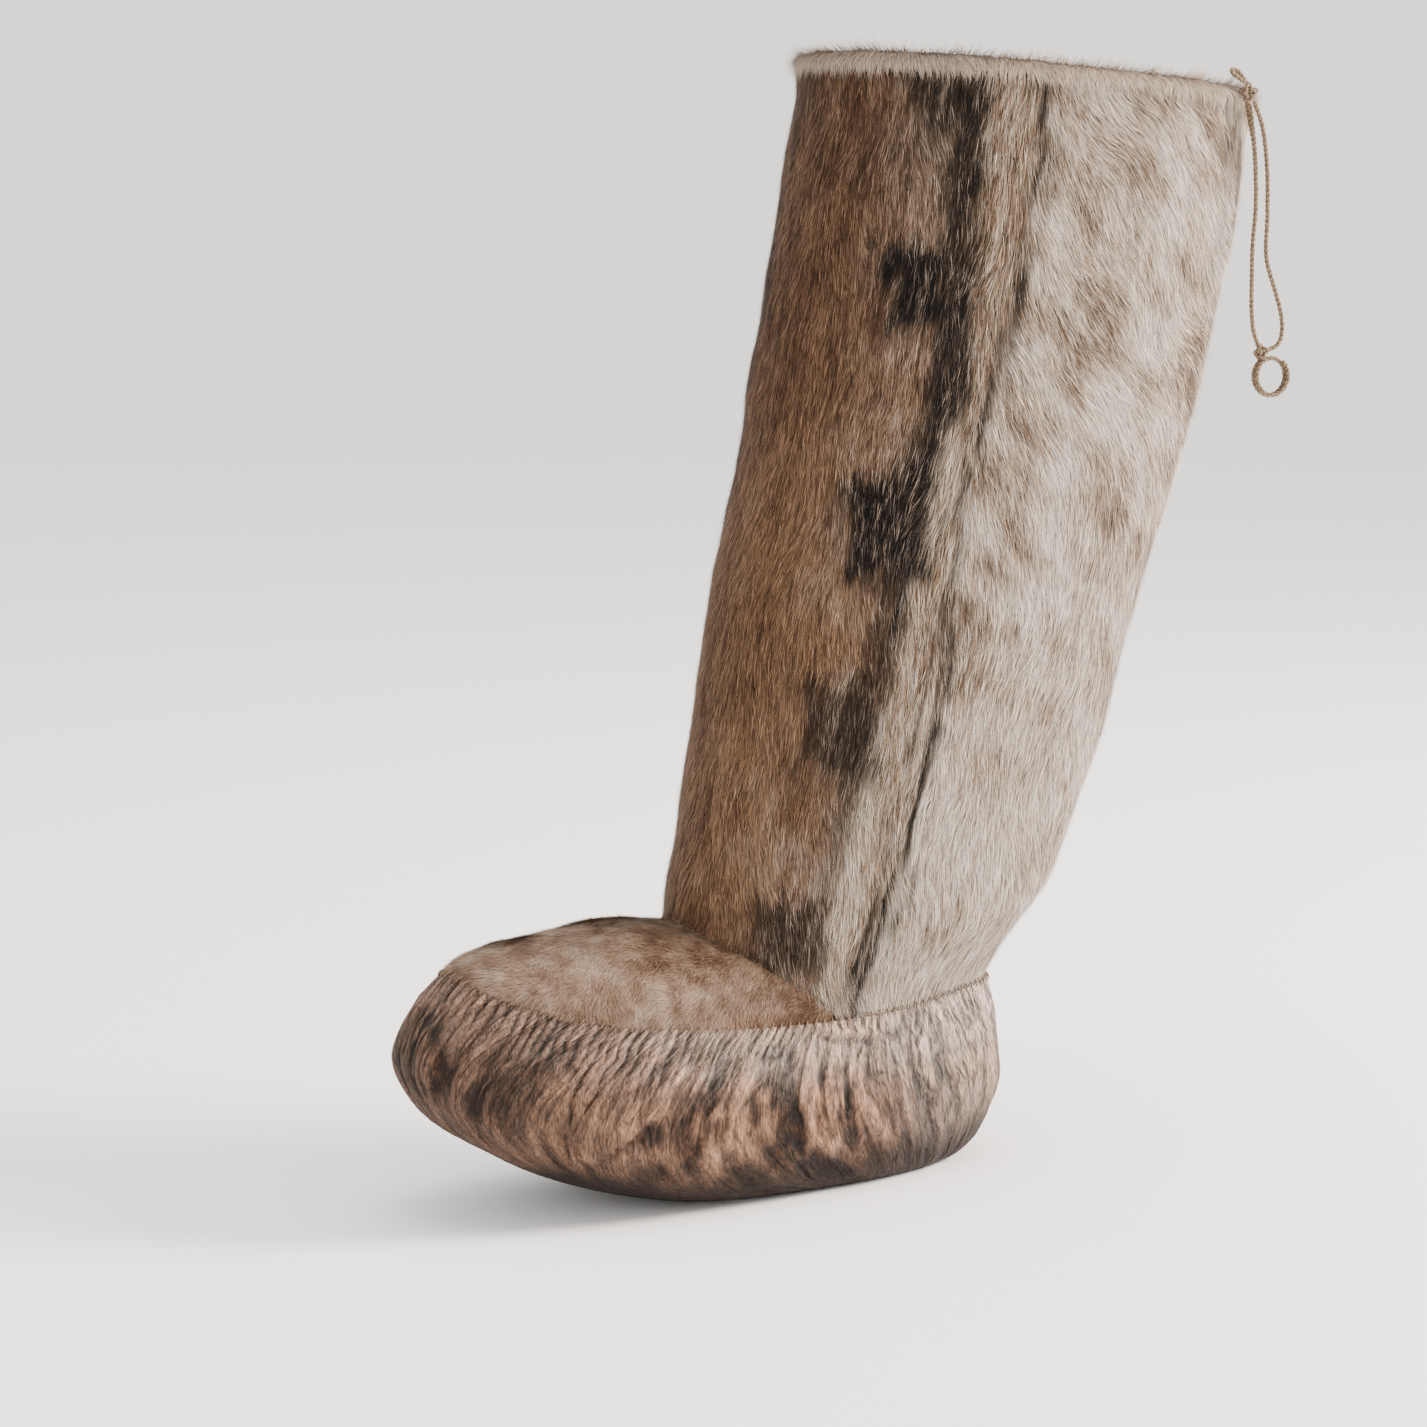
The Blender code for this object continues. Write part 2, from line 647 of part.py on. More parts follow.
# Drawstring: a knot at the back of the collar, with its loops and ends hanging down.
def cord(name, points, made_of, collection):
    """A round cord along a smooth curve through its route's points."""
    route = np.array(points)
    lengths = np.linalg.norm(np.diff(route, axis=0), axis=1)
    along = np.concatenate([[0], np.cumsum(lengths)])
    count = max(4, round(along[-1] / CORD_STEP))
    curve = bpy.data.curves.new(name, "CURVE")
    curve.dimensions = "3D"
    curve.bevel_depth = CORD_DIAMETER / 2
    curve.bevel_resolution = 2
    curve.use_fill_caps = True
    spline = curve.splines.new("POLY")
    spline.points.add(count - 1)
    for k, at in enumerate(np.linspace(0, along[-1], count)):
        spline.points[k].co = (*smooth_curve(along, route, at), 1)
    curve.materials.append(made_of)
    placed = bpy.data.objects.new(name, curve)
    collection.objects.link(placed)
    return placed


def knot(name, centre, size, made_of, collection):
    """A tied knot as one rounded lump."""
    work = bmesh.new()
    bmesh.ops.create_uvsphere(work, u_segments=12, v_segments=8, radius=size / 2)
    bmesh.ops.translate(work, vec=tuple(centre), verts=work.verts)
    mesh = bpy.data.meshes.new(name)
    work.to_mesh(mesh)
    work.free()
    mesh.shade_smooth()
    mesh.materials.append(made_of)
    placed = bpy.data.objects.new(name, mesh)
    collection.objects.link(placed)
    return placed


def knot_centre():
    """Against the outside of the casing, at the back of the collar."""
    turns, middle, outward = collar_line()
    at = int(np.argmin(np.abs(np.array(turns) - CORD_TURN)))
    reach = CASING_WIDTH / 2 + SEAM_GAP + KNOT_SIZE / 2
    return middle[at] + outward[at] * reach + [0, 0, KNOT_RISE]


def make_drawstring(collection):
    straw = material("twisted_cord", (0.42, 0.31, 0.2), 0.85)
    centre = knot_centre()
    knot("drawstring_knot", centre, KNOT_SIZE, straw, collection)
    knot("ring_knot", centre + RING_KNOT, RING_KNOT_SIZE, straw, collection)
    cord("strand_outer", centre + OUTER_STRAND, straw, collection)
    cord("strand_inner", centre + INNER_STRAND, straw, collection)
    cord("cord_tail", centre + TAIL, straw, collection)
    cord("upright_loop", centre + UPRIGHT_LOOP, straw, collection)
    ring = []
    for step in range(RING_STEPS + 1):
        turn = math.radians(RING_START + step * RING_STEP)
        side = RING_PITCH * (step - RING_STEPS / 2) * RING_STEP / 360
        across, up = RING_WIDTH / 2 * math.cos(turn), RING_WIDTH / 2 * math.sin(turn)
        ring.append((side, across, up))
    cord("cord_ring", centre + RING_CENTRE + np.array(ring), straw, collection)


def main():
    for old in list(bpy.data.objects):
        bpy.data.objects.remove(old, do_unlink=True)
    mukluk = bpy.data.collections.new("mukluk")
    bpy.context.scene.collection.children.link(mukluk)
    make_sole(mukluk)
    make_insole(mukluk)
    make_vamp(mukluk)
    make_shaft(mukluk)
    make_casing(mukluk)
    make_drawstring(mukluk)


main()
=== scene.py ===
import itertools
import math
from collections import namedtuple

import bpy
import numpy as np
from mathutils import Matrix, Vector


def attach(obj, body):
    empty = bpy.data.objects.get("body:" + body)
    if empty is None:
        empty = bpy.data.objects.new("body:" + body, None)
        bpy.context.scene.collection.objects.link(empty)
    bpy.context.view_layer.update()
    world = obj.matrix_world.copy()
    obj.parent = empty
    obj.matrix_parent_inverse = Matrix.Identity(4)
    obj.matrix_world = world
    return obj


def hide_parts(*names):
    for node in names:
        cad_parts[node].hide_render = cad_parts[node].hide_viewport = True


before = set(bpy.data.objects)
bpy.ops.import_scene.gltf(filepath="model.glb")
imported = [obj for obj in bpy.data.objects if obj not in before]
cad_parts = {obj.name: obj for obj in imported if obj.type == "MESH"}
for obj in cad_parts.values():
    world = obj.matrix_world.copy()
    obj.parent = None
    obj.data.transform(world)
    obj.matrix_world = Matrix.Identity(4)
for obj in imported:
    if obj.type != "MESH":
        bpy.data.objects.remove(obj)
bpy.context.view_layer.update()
mm = 0.001


def linear(hexColour):
    channels = [int(hexColour[i:i + 2], 16) / 255 for i in (1, 3, 5)]
    return np.array([c / 12.92 if c <= 0.04045 else ((c + 0.055) / 1.055) ** 2.4 for c in channels])


# The photo is exposed for a white ground, so hide and hair are darker in themselves than it shows them.
hideShare = 0.58


def rgba(hexColour, share=1.0):
    return (*(linear(hexColour) * share), 1)


def toVector(values):
    return Vector([float(v) for v in values])


def addNode(tree, kind, inputs=None, **settings):
    node = tree.nodes.new(kind)
    for name, value in settings.items():
        setattr(node, name, value)
    for name, value in (inputs or {}).items():
        socket = node.inputs[name]
        if isinstance(value, bpy.types.NodeSocket):
            tree.links.new(value, socket)
        else:
            socket.default_value = value
    return node


def newMaterial(name):
    made = bpy.data.materials.new(name)
    made.use_nodes = True
    return made, made.node_tree, made.node_tree.nodes["Principled BSDF"]


def drift(coords, seed):
    # smooth noise from -1 to 1 at each row of coords, one unit from bump to bump
    cell = np.floor(coords).astype(np.int64)
    part = coords - cell
    ease = part * part * (3 - 2 * part)
    total = np.zeros(len(coords))
    for corner in itertools.product((0, 1), repeat=coords.shape[1]):
        key = np.full(len(coords), seed * 7919 + 13, dtype=np.int64)
        weight = np.ones(len(coords))
        for axis, step in enumerate(corner):
            key = (key * 374761393 + (cell[:, axis] + step) * 668265263) & 0xFFFFFFFF
            key = (key ^ (key >> 15)) * 40503 & 0xFFFFFFFF
            weight *= ease[:, axis] if step else 1 - ease[:, axis]
        total += ((key ^ (key >> 13)) & 0xFFFF) / 32767.5 * weight
    return total - 1


def softStep(value, width):
    return 1 / (1 + np.exp(np.clip(-4 * value / width, -40, 40)))


def mixed(a, b, share):
    return a + (b - a) * np.asarray(share)[..., None]


# The boot's form, as the solids have it: the same named sizes and tables as the part's.
boot = dict(
    footLength=0.275, ballWidth=0.110, sideSeam=0.0725, toeSeam=0.0985,
    sideSwell=0.040, toeSwell=0.066, heelSwell=0.036, toeRamp=0.33, sideCurve=1.6,
    instep=0.1110, height=0.4545, calfDepth=0.210, calfWidth=0.124, roundness=2.3,
    collarDrop=0.0155, collarCurve=1.2, hemRidge=-0.062, hemCorner=0.113, hemEndRise=0.005,
    hemBlend=0.042, hemSlant=math.radians(38), hemAim=0.35, endGap=0.0012, turnGap=0.01,
    gap=0.0003, wall=0.003, soleWall=0.0022, casingWidth=0.005, casingHeight=0.0048,
)
footLength = boot["footLength"]

Outline = namedtuple("Outline", "toe heel widest halfWidth roundness")
seam = Outline(-0.426, 0.479, -0.048, 0.864, 2.2)
swell = Outline(-0.500, 0.500, -0.120, 1.000, 2.2)
tread = Outline(-0.120, 0.397, 0.090, 0.545, 2.4)

Rise = namedtuple("Rise", "along rise")
seamLine = [Rise(*r) for r in (
    (0, 1), (0.03, 0.8), (0.09, 0.58), (0.16, 0.38), (0.32, 0.17), (0.49, 0.04), (0.6, 0),
    (0.75, 0.01), (0.9, 0.12), (1, 0.12))]
vampRidge = [Rise(*r) for r in (
    (0, 0), (0.09, 0.48), (0.23, 0.74), (0.4, 0.92), (0.57, 1.08), (0.7, 1.2), (0.85, 1.14),
    (1, 1), (1.5, 0.9))]

Section = namedtuple("Section", "height middle depth width")
shaftSections = [Section(*s) for s in (
    (0.165, 0.243, 0.630, 0.742), (0.211, 0.249, 0.730, 0.810), (0.264, 0.272, 0.810, 0.870),
    (0.319, 0.296, 0.867, 0.890), (0.407, 0.336, 0.905, 0.905), (0.528, 0.386, 0.948, 0.930),
    (0.660, 0.444, 0.972, 0.955), (0.825, 0.503, 0.990, 0.985), (1.000, 0.563, 1.000, 1.000))]


def signedPower(value, exponent):
    return np.sign(value) * np.abs(value) ** exponent


def smoothCurve(table, column, at):
    xs = np.array([row[0] for row in table], dtype=float)
    values = np.array([getattr(row, column) for row in table], dtype=float)
    slopes = np.gradient(values, xs)
    at = np.asarray(at, dtype=float)
    i = np.clip(np.searchsorted(xs, at) - 1, 0, len(xs) - 2)
    step = xs[i + 1] - xs[i]
    t = (at - xs[i]) / step
    inside = (
        (1 + 2 * t) * (1 - t) ** 2 * values[i] + t * (1 - t) ** 2 * step * slopes[i]
        + t * t * (3 - 2 * t) * values[i + 1] - t * t * (1 - t) * step * slopes[i + 1]
    )
    inside = np.where(at < xs[0], values[0] + slopes[0] * (at - xs[0]), inside)
    return np.where(at > xs[-1], values[-1] + slopes[-1] * (at - xs[-1]), inside)


def evenly(curve, start, stop, count):
    steps = np.linspace(start, stop, 6000)
    lengths = np.linalg.norm(np.diff(curve(steps), axis=0), axis=1)
    along = np.concatenate([[0], np.cumsum(lengths)])
    return np.interp(np.linspace(0, along[-1], count + 1), along, steps)


def outlinePoint(outline, angle):
    along = signedPower(np.cos(angle), 2 / outline.roundness)
    across = signedPower(np.sin(angle), 2 / outline.roundness)
    end = np.where(along > 0, outline.toe, outline.heel)
    y = outline.widest + np.abs(along) * (end - outline.widest)
    return np.stack([outline.halfWidth * boot["ballWidth"] / 2 * across, footLength * y], -1)


def outlineAngle(outline, y):
    share = y / footLength - outline.widest
    end = np.where(share < 0, outline.toe, outline.heel)
    cosine = np.minimum(np.abs(share / (end - outline.widest)), 1) ** (outline.roundness / 2)
    return np.arccos(np.where(share < 0, cosine, -cosine))


def halfWidthAt(outline, y):
    return np.abs(outlinePoint(outline, outlineAngle(outline, y))[..., 0])


def seamHeight(y):
    along = (y / footLength - seam.toe) / (seam.heel - seam.toe)
    rise = smoothCurve(seamLine, "rise", np.clip(along, 0, 1))
    return boot["sideSeam"] + rise * (boot["toeSeam"] - boot["sideSeam"])


def seamPoint(angle):
    flat = outlinePoint(seam, angle)
    return np.concatenate([flat, seamHeight(flat[..., 1:])], -1)


def inwardFromSeam(angle):
    tangent = outlinePoint(seam, angle + 0.001) - outlinePoint(seam, angle - 0.001)
    tangent /= np.linalg.norm(tangent, axis=-1, keepdims=True)
    return np.stack([-tangent[..., 1], tangent[..., 0], 0 * tangent[..., 0]], -1)


def swellHeight(angle):
    end = np.where(np.cos(angle) > 0, boot["toeSwell"], boot["heelSwell"])
    return boot["sideSwell"] + (end - boot["sideSwell"]) * np.cos(angle) ** 2


def solePoint(angle, share):
    # share 0 is the tread's edge, 1 the widest line, 2 the seam
    low, wide, high = (outlinePoint(o, angle) for o in (tread, swell, seam))
    bottom, top = swellHeight(angle), seamPoint(angle)[..., 2]
    turn = np.clip(share, 0, 1) * math.pi / 2
    ramp = boot["toeRamp"] * np.maximum(np.cos(angle), 0)
    up = np.clip(share - 1, 0, 1)
    flat = low + (wide - low) * np.sin(turn)[..., None] + (high - wide) * (up ** boot["sideCurve"])[..., None]
    z = bottom * (ramp * np.sin(turn) + (1 - ramp) * (1 - np.cos(turn))) + up * (top - bottom)
    return np.concatenate([flat, z[..., None]], -1)


def ridgeHeight(y):
    toe, shaft = seam.toe * footLength, boot["hemRidge"] * footLength
    rise = smoothCurve(vampRidge, "rise", (y - toe) / (shaft - toe))
    return boot["toeSeam"] + rise * (boot["instep"] - boot["toeSeam"])


def vampHeight(x, y):
    edge = seamHeight(y)
    share = np.minimum(np.abs(x) / np.maximum(halfWidthAt(seam, y), 1e-6), 1)
    return edge + (ridgeHeight(y) - edge) * np.sqrt(1 - share * share)


def hemPoint(share):
    cornerY, ridgeY = boot["hemCorner"] * footLength, boot["hemRidge"] * footLength
    last = math.acos(boot["hemEndRise"] / (ridgeHeight(cornerY) - seamHeight(cornerY)))
    y = ridgeY + (cornerY - ridgeY) * (1 - np.cos(share * last)) / (1 - math.cos(last))
    x = halfWidthAt(seam, y) * np.sin(share * last)
    return np.stack([x, y, vampHeight(x, y) + boot["gap"]], -1)


def shaftPoint(turn, height):
    at = height / boot["height"]
    halfDepth = smoothCurve(shaftSections, "depth", at) * boot["calfDepth"] / 2
    halfWidth = smoothCurve(shaftSections, "width", at) * boot["calfWidth"] / 2
    middle = smoothCurve(shaftSections, "middle", at) * footLength
    x = halfWidth * signedPower(np.sin(turn), 2 / boot["roundness"])
    y = middle - halfDepth * signedPower(np.cos(turn), 2 / boot["roundness"])
    return np.stack([x, y, height + 0 * x], -1)


def hemSlant(share):
    ankle = np.array([0, shaftPoint(0.0, boot["instep"])[1] + boot["calfDepth"] * boot["hemAim"]])
    level = ankle - hemPoint(share)[:, :2]
    level /= np.linalg.norm(level, axis=1, keepdims=True)
    tilt = boot["hemSlant"] * (1 - share * share)
    return np.concatenate([level * np.cos(tilt)[:, None], -np.sin(tilt)[:, None]], 1)


def seamAngles(frontCount, backCount):
    cornerY = boot["hemCorner"] * footLength
    corner = float(outlineAngle(seam, cornerY))
    notch = corner + boot["endGap"] / float(halfWidthAt(seam, cornerY))
    front = evenly(seamPoint, -corner, corner, frontCount)
    return front, evenly(seamPoint, notch, 2 * math.pi - notch, backCount)


def normalsOf(grid, closed):
    across = np.roll(grid, -1, 1) - np.roll(grid, 1, 1) if closed else np.gradient(grid, axis=1)
    normal = np.cross(across, np.gradient(grid, axis=0))
    return normal / np.maximum(np.linalg.norm(normal, axis=2, keepdims=True), 1e-12)


def gridFaces(rows, columns, closed):
    # quads over a grid of points, row by row
    r, c = np.meshgrid(np.arange(rows - 1), np.arange(columns if closed else columns - 1), indexing="ij")
    a, b = r * columns + c, r * columns + (c + 1) % columns
    return np.stack([a, b, b + columns, a + columns], -1).reshape(-1, 4)


def meshPiece(name, points, faces, material, smooth=True):
    mesh = bpy.data.meshes.new(name)
    mesh.from_pydata(np.asarray(points).tolist(), [], [tuple(f) for f in faces])
    mesh.validate()
    if smooth:
        mesh.shade_smooth()
    mesh.materials.append(material)
    piece = bpy.data.objects.new(name, mesh)
    bpy.context.scene.collection.objects.link(piece)
    return piece


def tube(line, radius, sides):
    # points and faces of a round tube along a line
    tangents = np.gradient(line, axis=0)
    tangents /= np.linalg.norm(tangents, axis=1, keepdims=True)
    helper = np.array([1.0, 0.3, 0.1])
    rings = []
    for point, tangent in zip(line, tangents):
        first = helper - tangent * (helper @ tangent)
        first /= np.linalg.norm(first)
        helper = first
        second = np.cross(tangent, first)
        angles = np.arange(sides) * 2 * math.pi / sides
        rings.append(point + radius * (np.cos(angles)[:, None] * first + np.sin(angles)[:, None] * second))
    faces = [tuple(f) for f in gridFaces(len(rings), sides, closed=True)]
    last = (len(rings) - 1) * sides
    faces += [tuple(range(sides))[::-1], tuple(last + i for i in range(sides))]
    return np.array(rings).reshape(-1, 3), faces


def storeFloat(mesh, name, values):
    attribute = mesh.attributes.new(name, "FLOAT", "POINT")
    attribute.data.foreach_set("value", np.asarray(values, dtype=np.float32).ravel())


def storeVector(mesh, name, values):
    attribute = mesh.attributes.new(name, "FLOAT_VECTOR", "POINT")
    attribute.data.foreach_set("vector", np.asarray(values, dtype=np.float32).ravel())


def storeColour(mesh, name, colours):
    colours = np.concatenate([colours, np.ones((len(colours), 1))], 1).astype(np.float32)
    mesh.color_attributes.new(name, "FLOAT_COLOR", "POINT").data.foreach_set("color", colours.ravel())


def faceOut(piece, inside):
    # turns the faces so that the first one looks away from a point inside
    mesh = piece.data
    face = mesh.polygons[0]
    if (face.center - inside).dot(face.normal) < 0:
        mesh.flip_normals()


def placeOnBoot(piece, slot, *nodes):
    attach(piece, "root")
    if nodes:
        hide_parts(*nodes)


# The fur's pattern: where each colour lies on either side of the shaft, in millimetres.
Stripe = namedtuple("Stripe", "z y halfWidth")
wideStripe = [Stripe(*s) for s in (
    (70, 20, 2), (110, 26, 3), (137, 31, 4), (175, 38, 5.5), (203, 48, 6), (243, 56, 7), (274, 64, 9),
    (302, 70, 8), (326, 80, 10), (361, 84, 9), (400, 87, 7), (455, 92, 8))]
seamStripe = [Stripe(*s) for s in (
    (76, 40, 7), (94, 47, 9), (136, 58, 8), (170, 66, 6), (198, 72, 8), (222, 77, 5), (246, 82, 2),
    (275, 87, 3), (301, 91, 5), (329, 101, 5), (361, 110, 5), (404, 118, 5), (455, 120, 4))]
Patch = namedtuple("Patch", "front back low high strength")
darkSquares = [Patch(*p) for p in (
    (69, 96, 427, 462, 0.86), (56, 84, 346, 380, 1.0), (38, 72, 249, 291, 1.0), (21, 50, 168, 212, 0.86),
    (3, 29, 90, 125, 0.84))]

# low, middle and high tone of the hair in each field
FurField = namedtuple("FurField", "low middle high")
furFields = dict(
    front=FurField("#3e281b", "#886449", "#b8926f"),
    between=FurField("#3a281d", "#b09378", "#faead9"),
    back=FurField("#66513f", "#d4b9a2", "#fff6ea"),
    dark=FurField("#050302", "#1c130d", "#b09c8c"),
    vamp=FurField("#73543f", "#c5a68d", "#f0decc"),
    gold=FurField("#6b4526", "#b2835a", "#d6b08a"),
)
furFields = {name: [linear(c) * hideShare for c in field] for name, field in furFields.items()}


# the middle tone of each part of the pattern, and how far its clouds, streaks and shades move it
furTones = dict(
    front=0.50, frontTopShade=0.28, between=0.46, betweenPale=0.26, betweenShade=0.10, betweenLow=0.18,
    rear=0.61, rearBlotch=0.26, rearSwirl=0.44, rearLow=0.10, rearShade=0.16, dark=0.30,
    vamp=0.48, vampMottle=0.26, vampCloud=0.30, vampHeelShade=0.36, vampTopShade=0.12, oneHair=0.55)
skinLuck = 0.45  # the luck that stands for the skin between the hairs
liningTint = linear("#b39d86") * hideShare


def streaky(spot, acrossScale, leaning, leanScale, upScale, seed):
    # noise in streaks, with the size in millimetres of a streak across, along the foot and up
    return drift(np.stack([spot[:, 0] / acrossScale, leaning / leanScale, spot[:, 2] / upScale], 1), seed)


def toned(field, tone):
    # a colour between the low, middle and high tone of a field, at 0 to 1
    low, middle, high = furFields[field]
    tone = np.clip(tone, 0, 1)
    return np.where((tone < 0.5)[:, None], mixed(low, middle, tone * 2), mixed(middle, high, tone * 2 - 1))


def stripeAt(stripe, z):
    zs, ys, halves = zip(*stripe)
    return np.interp(z, zs, ys), np.interp(z, zs, halves)


def shaftColour(points, luck):
    # the shaft's hair colour at points on the fur; luck is a random number for each hair
    spot = points / mm
    y = spot[:, 1] + 2.4 * drift(spot / 7, 3) + 2.4 * (luck - 0.5)
    z = spot[:, 2] + 3.5 * drift(spot / 9, 4) + 5 * (luck - 0.5)
    wideY, wideHalf = stripeAt(wideStripe, z)
    seamY, seamHalf = stripeAt(seamStripe, z)
    leaning = spot[:, 1] - 0.25 * spot[:, 2]  # the nap leans with the leg
    crossing = spot[:, 1] + 0.8 * spot[:, 2]  # and crosses it high at the back
    streak = streaky(spot, 5, leaning, 5, 26, 5)
    fine = streaky(spot, 1.5, leaning, 1.5, 9, 12)
    blotch = drift(spot * [1 / 21, 1 / 21, 1 / 26], 6)
    swirl = streaky(spot, 14, crossing, 12, 17, 9)
    behind = softStep(y - seamY, 6)
    upper = softStep(z - 210, 90)
    # a few hairs differ much, most a little
    chance = furTones["oneHair"] * (luck - 0.5) * 2 * np.abs(luck - 0.5) * 2
    frontTone = furTones["front"] + 0.16 * streak + 0.16 * fine + 0.14 * blotch + chance
    frontTone -= furTones["frontTopShade"] * softStep(z - 330, 90)
    aboveGap = softStep(z - 238, 30)
    betweenTone = furTones["between"] + 0.22 * streak + 0.20 * fine + chance
    betweenTone += furTones["betweenPale"] * aboveGap * (1 - softStep(z - 285, 50))
    betweenTone -= furTones["betweenShade"] * (1 - aboveGap) * softStep(z - 205, 20)
    betweenTone += furTones["betweenLow"] * (1 - softStep(z - 200, 30))
    clouds = furTones["rearBlotch"] * blotch + furTones["rearSwirl"] * swirl
    rearTone = furTones["rear"] + 0.16 * streak + 0.20 * fine + clouds * (0.3 + 0.7 * upper) + 1.2 * chance
    rearTone += furTones["rearLow"] * (1 - upper)
    rearTone -= furTones["rearShade"] * softStep(36 - (y - seamY), 12) * upper

    colour = toned("front", frontTone)
    greyed = softStep(20 - (wideY - y),
                      30) * (0.38 + 0.35 * softStep(z - 300, 80) + 0.45 * drift(spot / 13, 10))
    betweenShare = np.clip(np.maximum(softStep(y - wideY, 7), greyed), 0, 1)
    colour = mixed(colour, toned("between", betweenTone), betweenShare)
    colour = mixed(colour, toned("back", rearTone), behind)

    wide = softStep(wideHalf - np.abs(y - wideY), 6) * np.clip(1.0 + 0.5 * streak, 0, 1)
    wide = wide * (0.35 + 0.65 * softStep(z - 150, 40))
    thin = softStep(seamHalf - np.abs(y - seamY + 4 * drift(spot / 13, 14)), 6)
    thin = thin * np.clip(0.66 + 1.2 * streaky(spot, 3, leaning, 2.6, 26, 7), 0, 1)
    rearX = 35 + 0.17 * (z - 372)
    rear = softStep(5 - np.abs(np.abs(spot[:, 0]) - rearX),
                    5) * softStep(y - seamY - 70, 8) * softStep(z - 300, 60)
    rear = rear * np.clip(0.5 + 0.9 * drift(spot / [6, 6, 22], 8), 0, 0.85)
    square = np.zeros(len(y))
    ragged = 2.6 * drift(spot / 7, 11) + 4 * streaky(spot, 3, leaning, 2.2, 16, 13)
    for patch in darkSquares:
        inside = np.minimum.reduce([y - patch.front, patch.back - y, z - patch.low, patch.high - z])
        square = np.maximum(square, softStep(inside + ragged, 6) * patch.strength)
    dark = np.maximum.reduce([wide, thin, rear, square])
    darkTone = furTones["dark"] + 0.22 * streak + 0.26 * fine + 1.05 * chance
    return mixed(colour, toned("dark", darkTone), dark)


def rimColour(points, luck):
    # rubbed and paler than the hair below it
    return mixed(shaftColour(points, luck), linear("#f2ddc8") * hideShare, 0.55 + 0.4 * luck)


def vampColour(points, luck):
    spot = points / mm
    mottle = drift(spot / 5, 31)
    cloud = drift(spot / 17, 32)
    tone = furTones["vamp"] + furTones["vampMottle"] * mottle + furTones["vampCloud"] * cloud
    tone += 0.44 * (luck - 0.5)
    tone -= furTones["vampHeelShade"] * softStep(spot[:, 1] + 12, 30)
    tone -= furTones["vampTopShade"] * softStep(spot[:, 2] - 96, 14)
    colour = toned("vamp", tone)
    edge = spot[:, 2] - seamHeight(points[:, 1]) / mm
    golden = softStep(3.5 - edge, 3) * softStep(spot[:, 1] + 20, 26) * 0.4
    return mixed(colour, toned("gold", tone), golden)


# Skins: what the hair grows from.
skinSizes = dict(frontColumns=104, backColumns=96, rows=84, liningRows=16, inset=0.0013,
                 bulge=3.6, bulgeLow=320, bulgeHigh=418, bulgeBack=185, vampColumns=110, vampRows=34)


def furSkinMaterial(name, tintScale):
    # Caribou skin with its underfur: matt, drawn with streaks along the nap
    made, tree, shader = newMaterial(name)
    tint = addNode(tree, "ShaderNodeAttribute", attribute_name="tint")
    place = addNode(tree, "ShaderNodeTexCoord")
    stretched = addNode(tree, "ShaderNodeMapping", {"Vector": place.outputs["Object"], "Scale": (1, 1, 0.14)})
    streaks = addNode(tree, "ShaderNodeTexNoise",
                      {"Vector": stretched.outputs[0], "Scale": 1 / (0.9 * mm), "Detail": 3.0})
    spread = addNode(tree, "ShaderNodeMapRange",
                     {"Value": streaks.outputs["Fac"], "From Min": 0.3, "From Max": 0.7,
                      "To Min": 0.45 * tintScale, "To Max": 1.05 * tintScale})
    shade = addNode(tree, "ShaderNodeVectorMath", {0: tint.outputs["Color"], "Scale": spread.outputs[0]},
                    operation="SCALE")
    bump = addNode(tree, "ShaderNodeBump",
                   {"Height": streaks.outputs["Fac"], "Strength": 0.6, "Distance": 0.8 * mm})
    tree.links.new(shade.outputs[0], shader.inputs["Base Color"])
    tree.links.new(bump.outputs[0], shader.inputs["Normal"])
    shader.inputs["Roughness"].default_value = 0.85
    shader.inputs["Specular IOR Level"].default_value = 0.1
    return made


def suedeMaterial():
    # Tanned skin side: pale, matt, with a fine felted nap
    made, tree, shader = newMaterial("tannedSkinSide")
    place = addNode(tree, "ShaderNodeTexCoord")
    cloud = addNode(tree, "ShaderNodeTexNoise",
                    {"Vector": place.outputs["Object"], "Scale": 1 / (22 * mm), "Detail": 4.0})
    ramp = addNode(tree, "ShaderNodeValToRGB", {"Fac": cloud.outputs["Fac"]})
    ramp.color_ramp.elements[0].color = rgba("#a38a72", hideShare)
    ramp.color_ramp.elements[1].color = rgba("#cdb9a2", hideShare)
    fine = addNode(tree, "ShaderNodeTexNoise",
                   {"Vector": place.outputs["Object"], "Scale": 1 / (0.8 * mm), "Detail": 3.0})
    bump = addNode(tree, "ShaderNodeBump",
                   {"Height": fine.outputs["Fac"], "Strength": 0.4, "Distance": 0.4 * mm})
    tree.links.new(ramp.outputs[0], shader.inputs["Base Color"])
    tree.links.new(bump.outputs[0], shader.inputs["Normal"])
    shader.inputs["Roughness"].default_value = 0.9
    return made


furSkin = furSkinMaterial("caribouUnderfur", 0.62)
vampSkin = furSkinMaterial("shortUnderfur", 0.75)
suede = suedeMaterial()


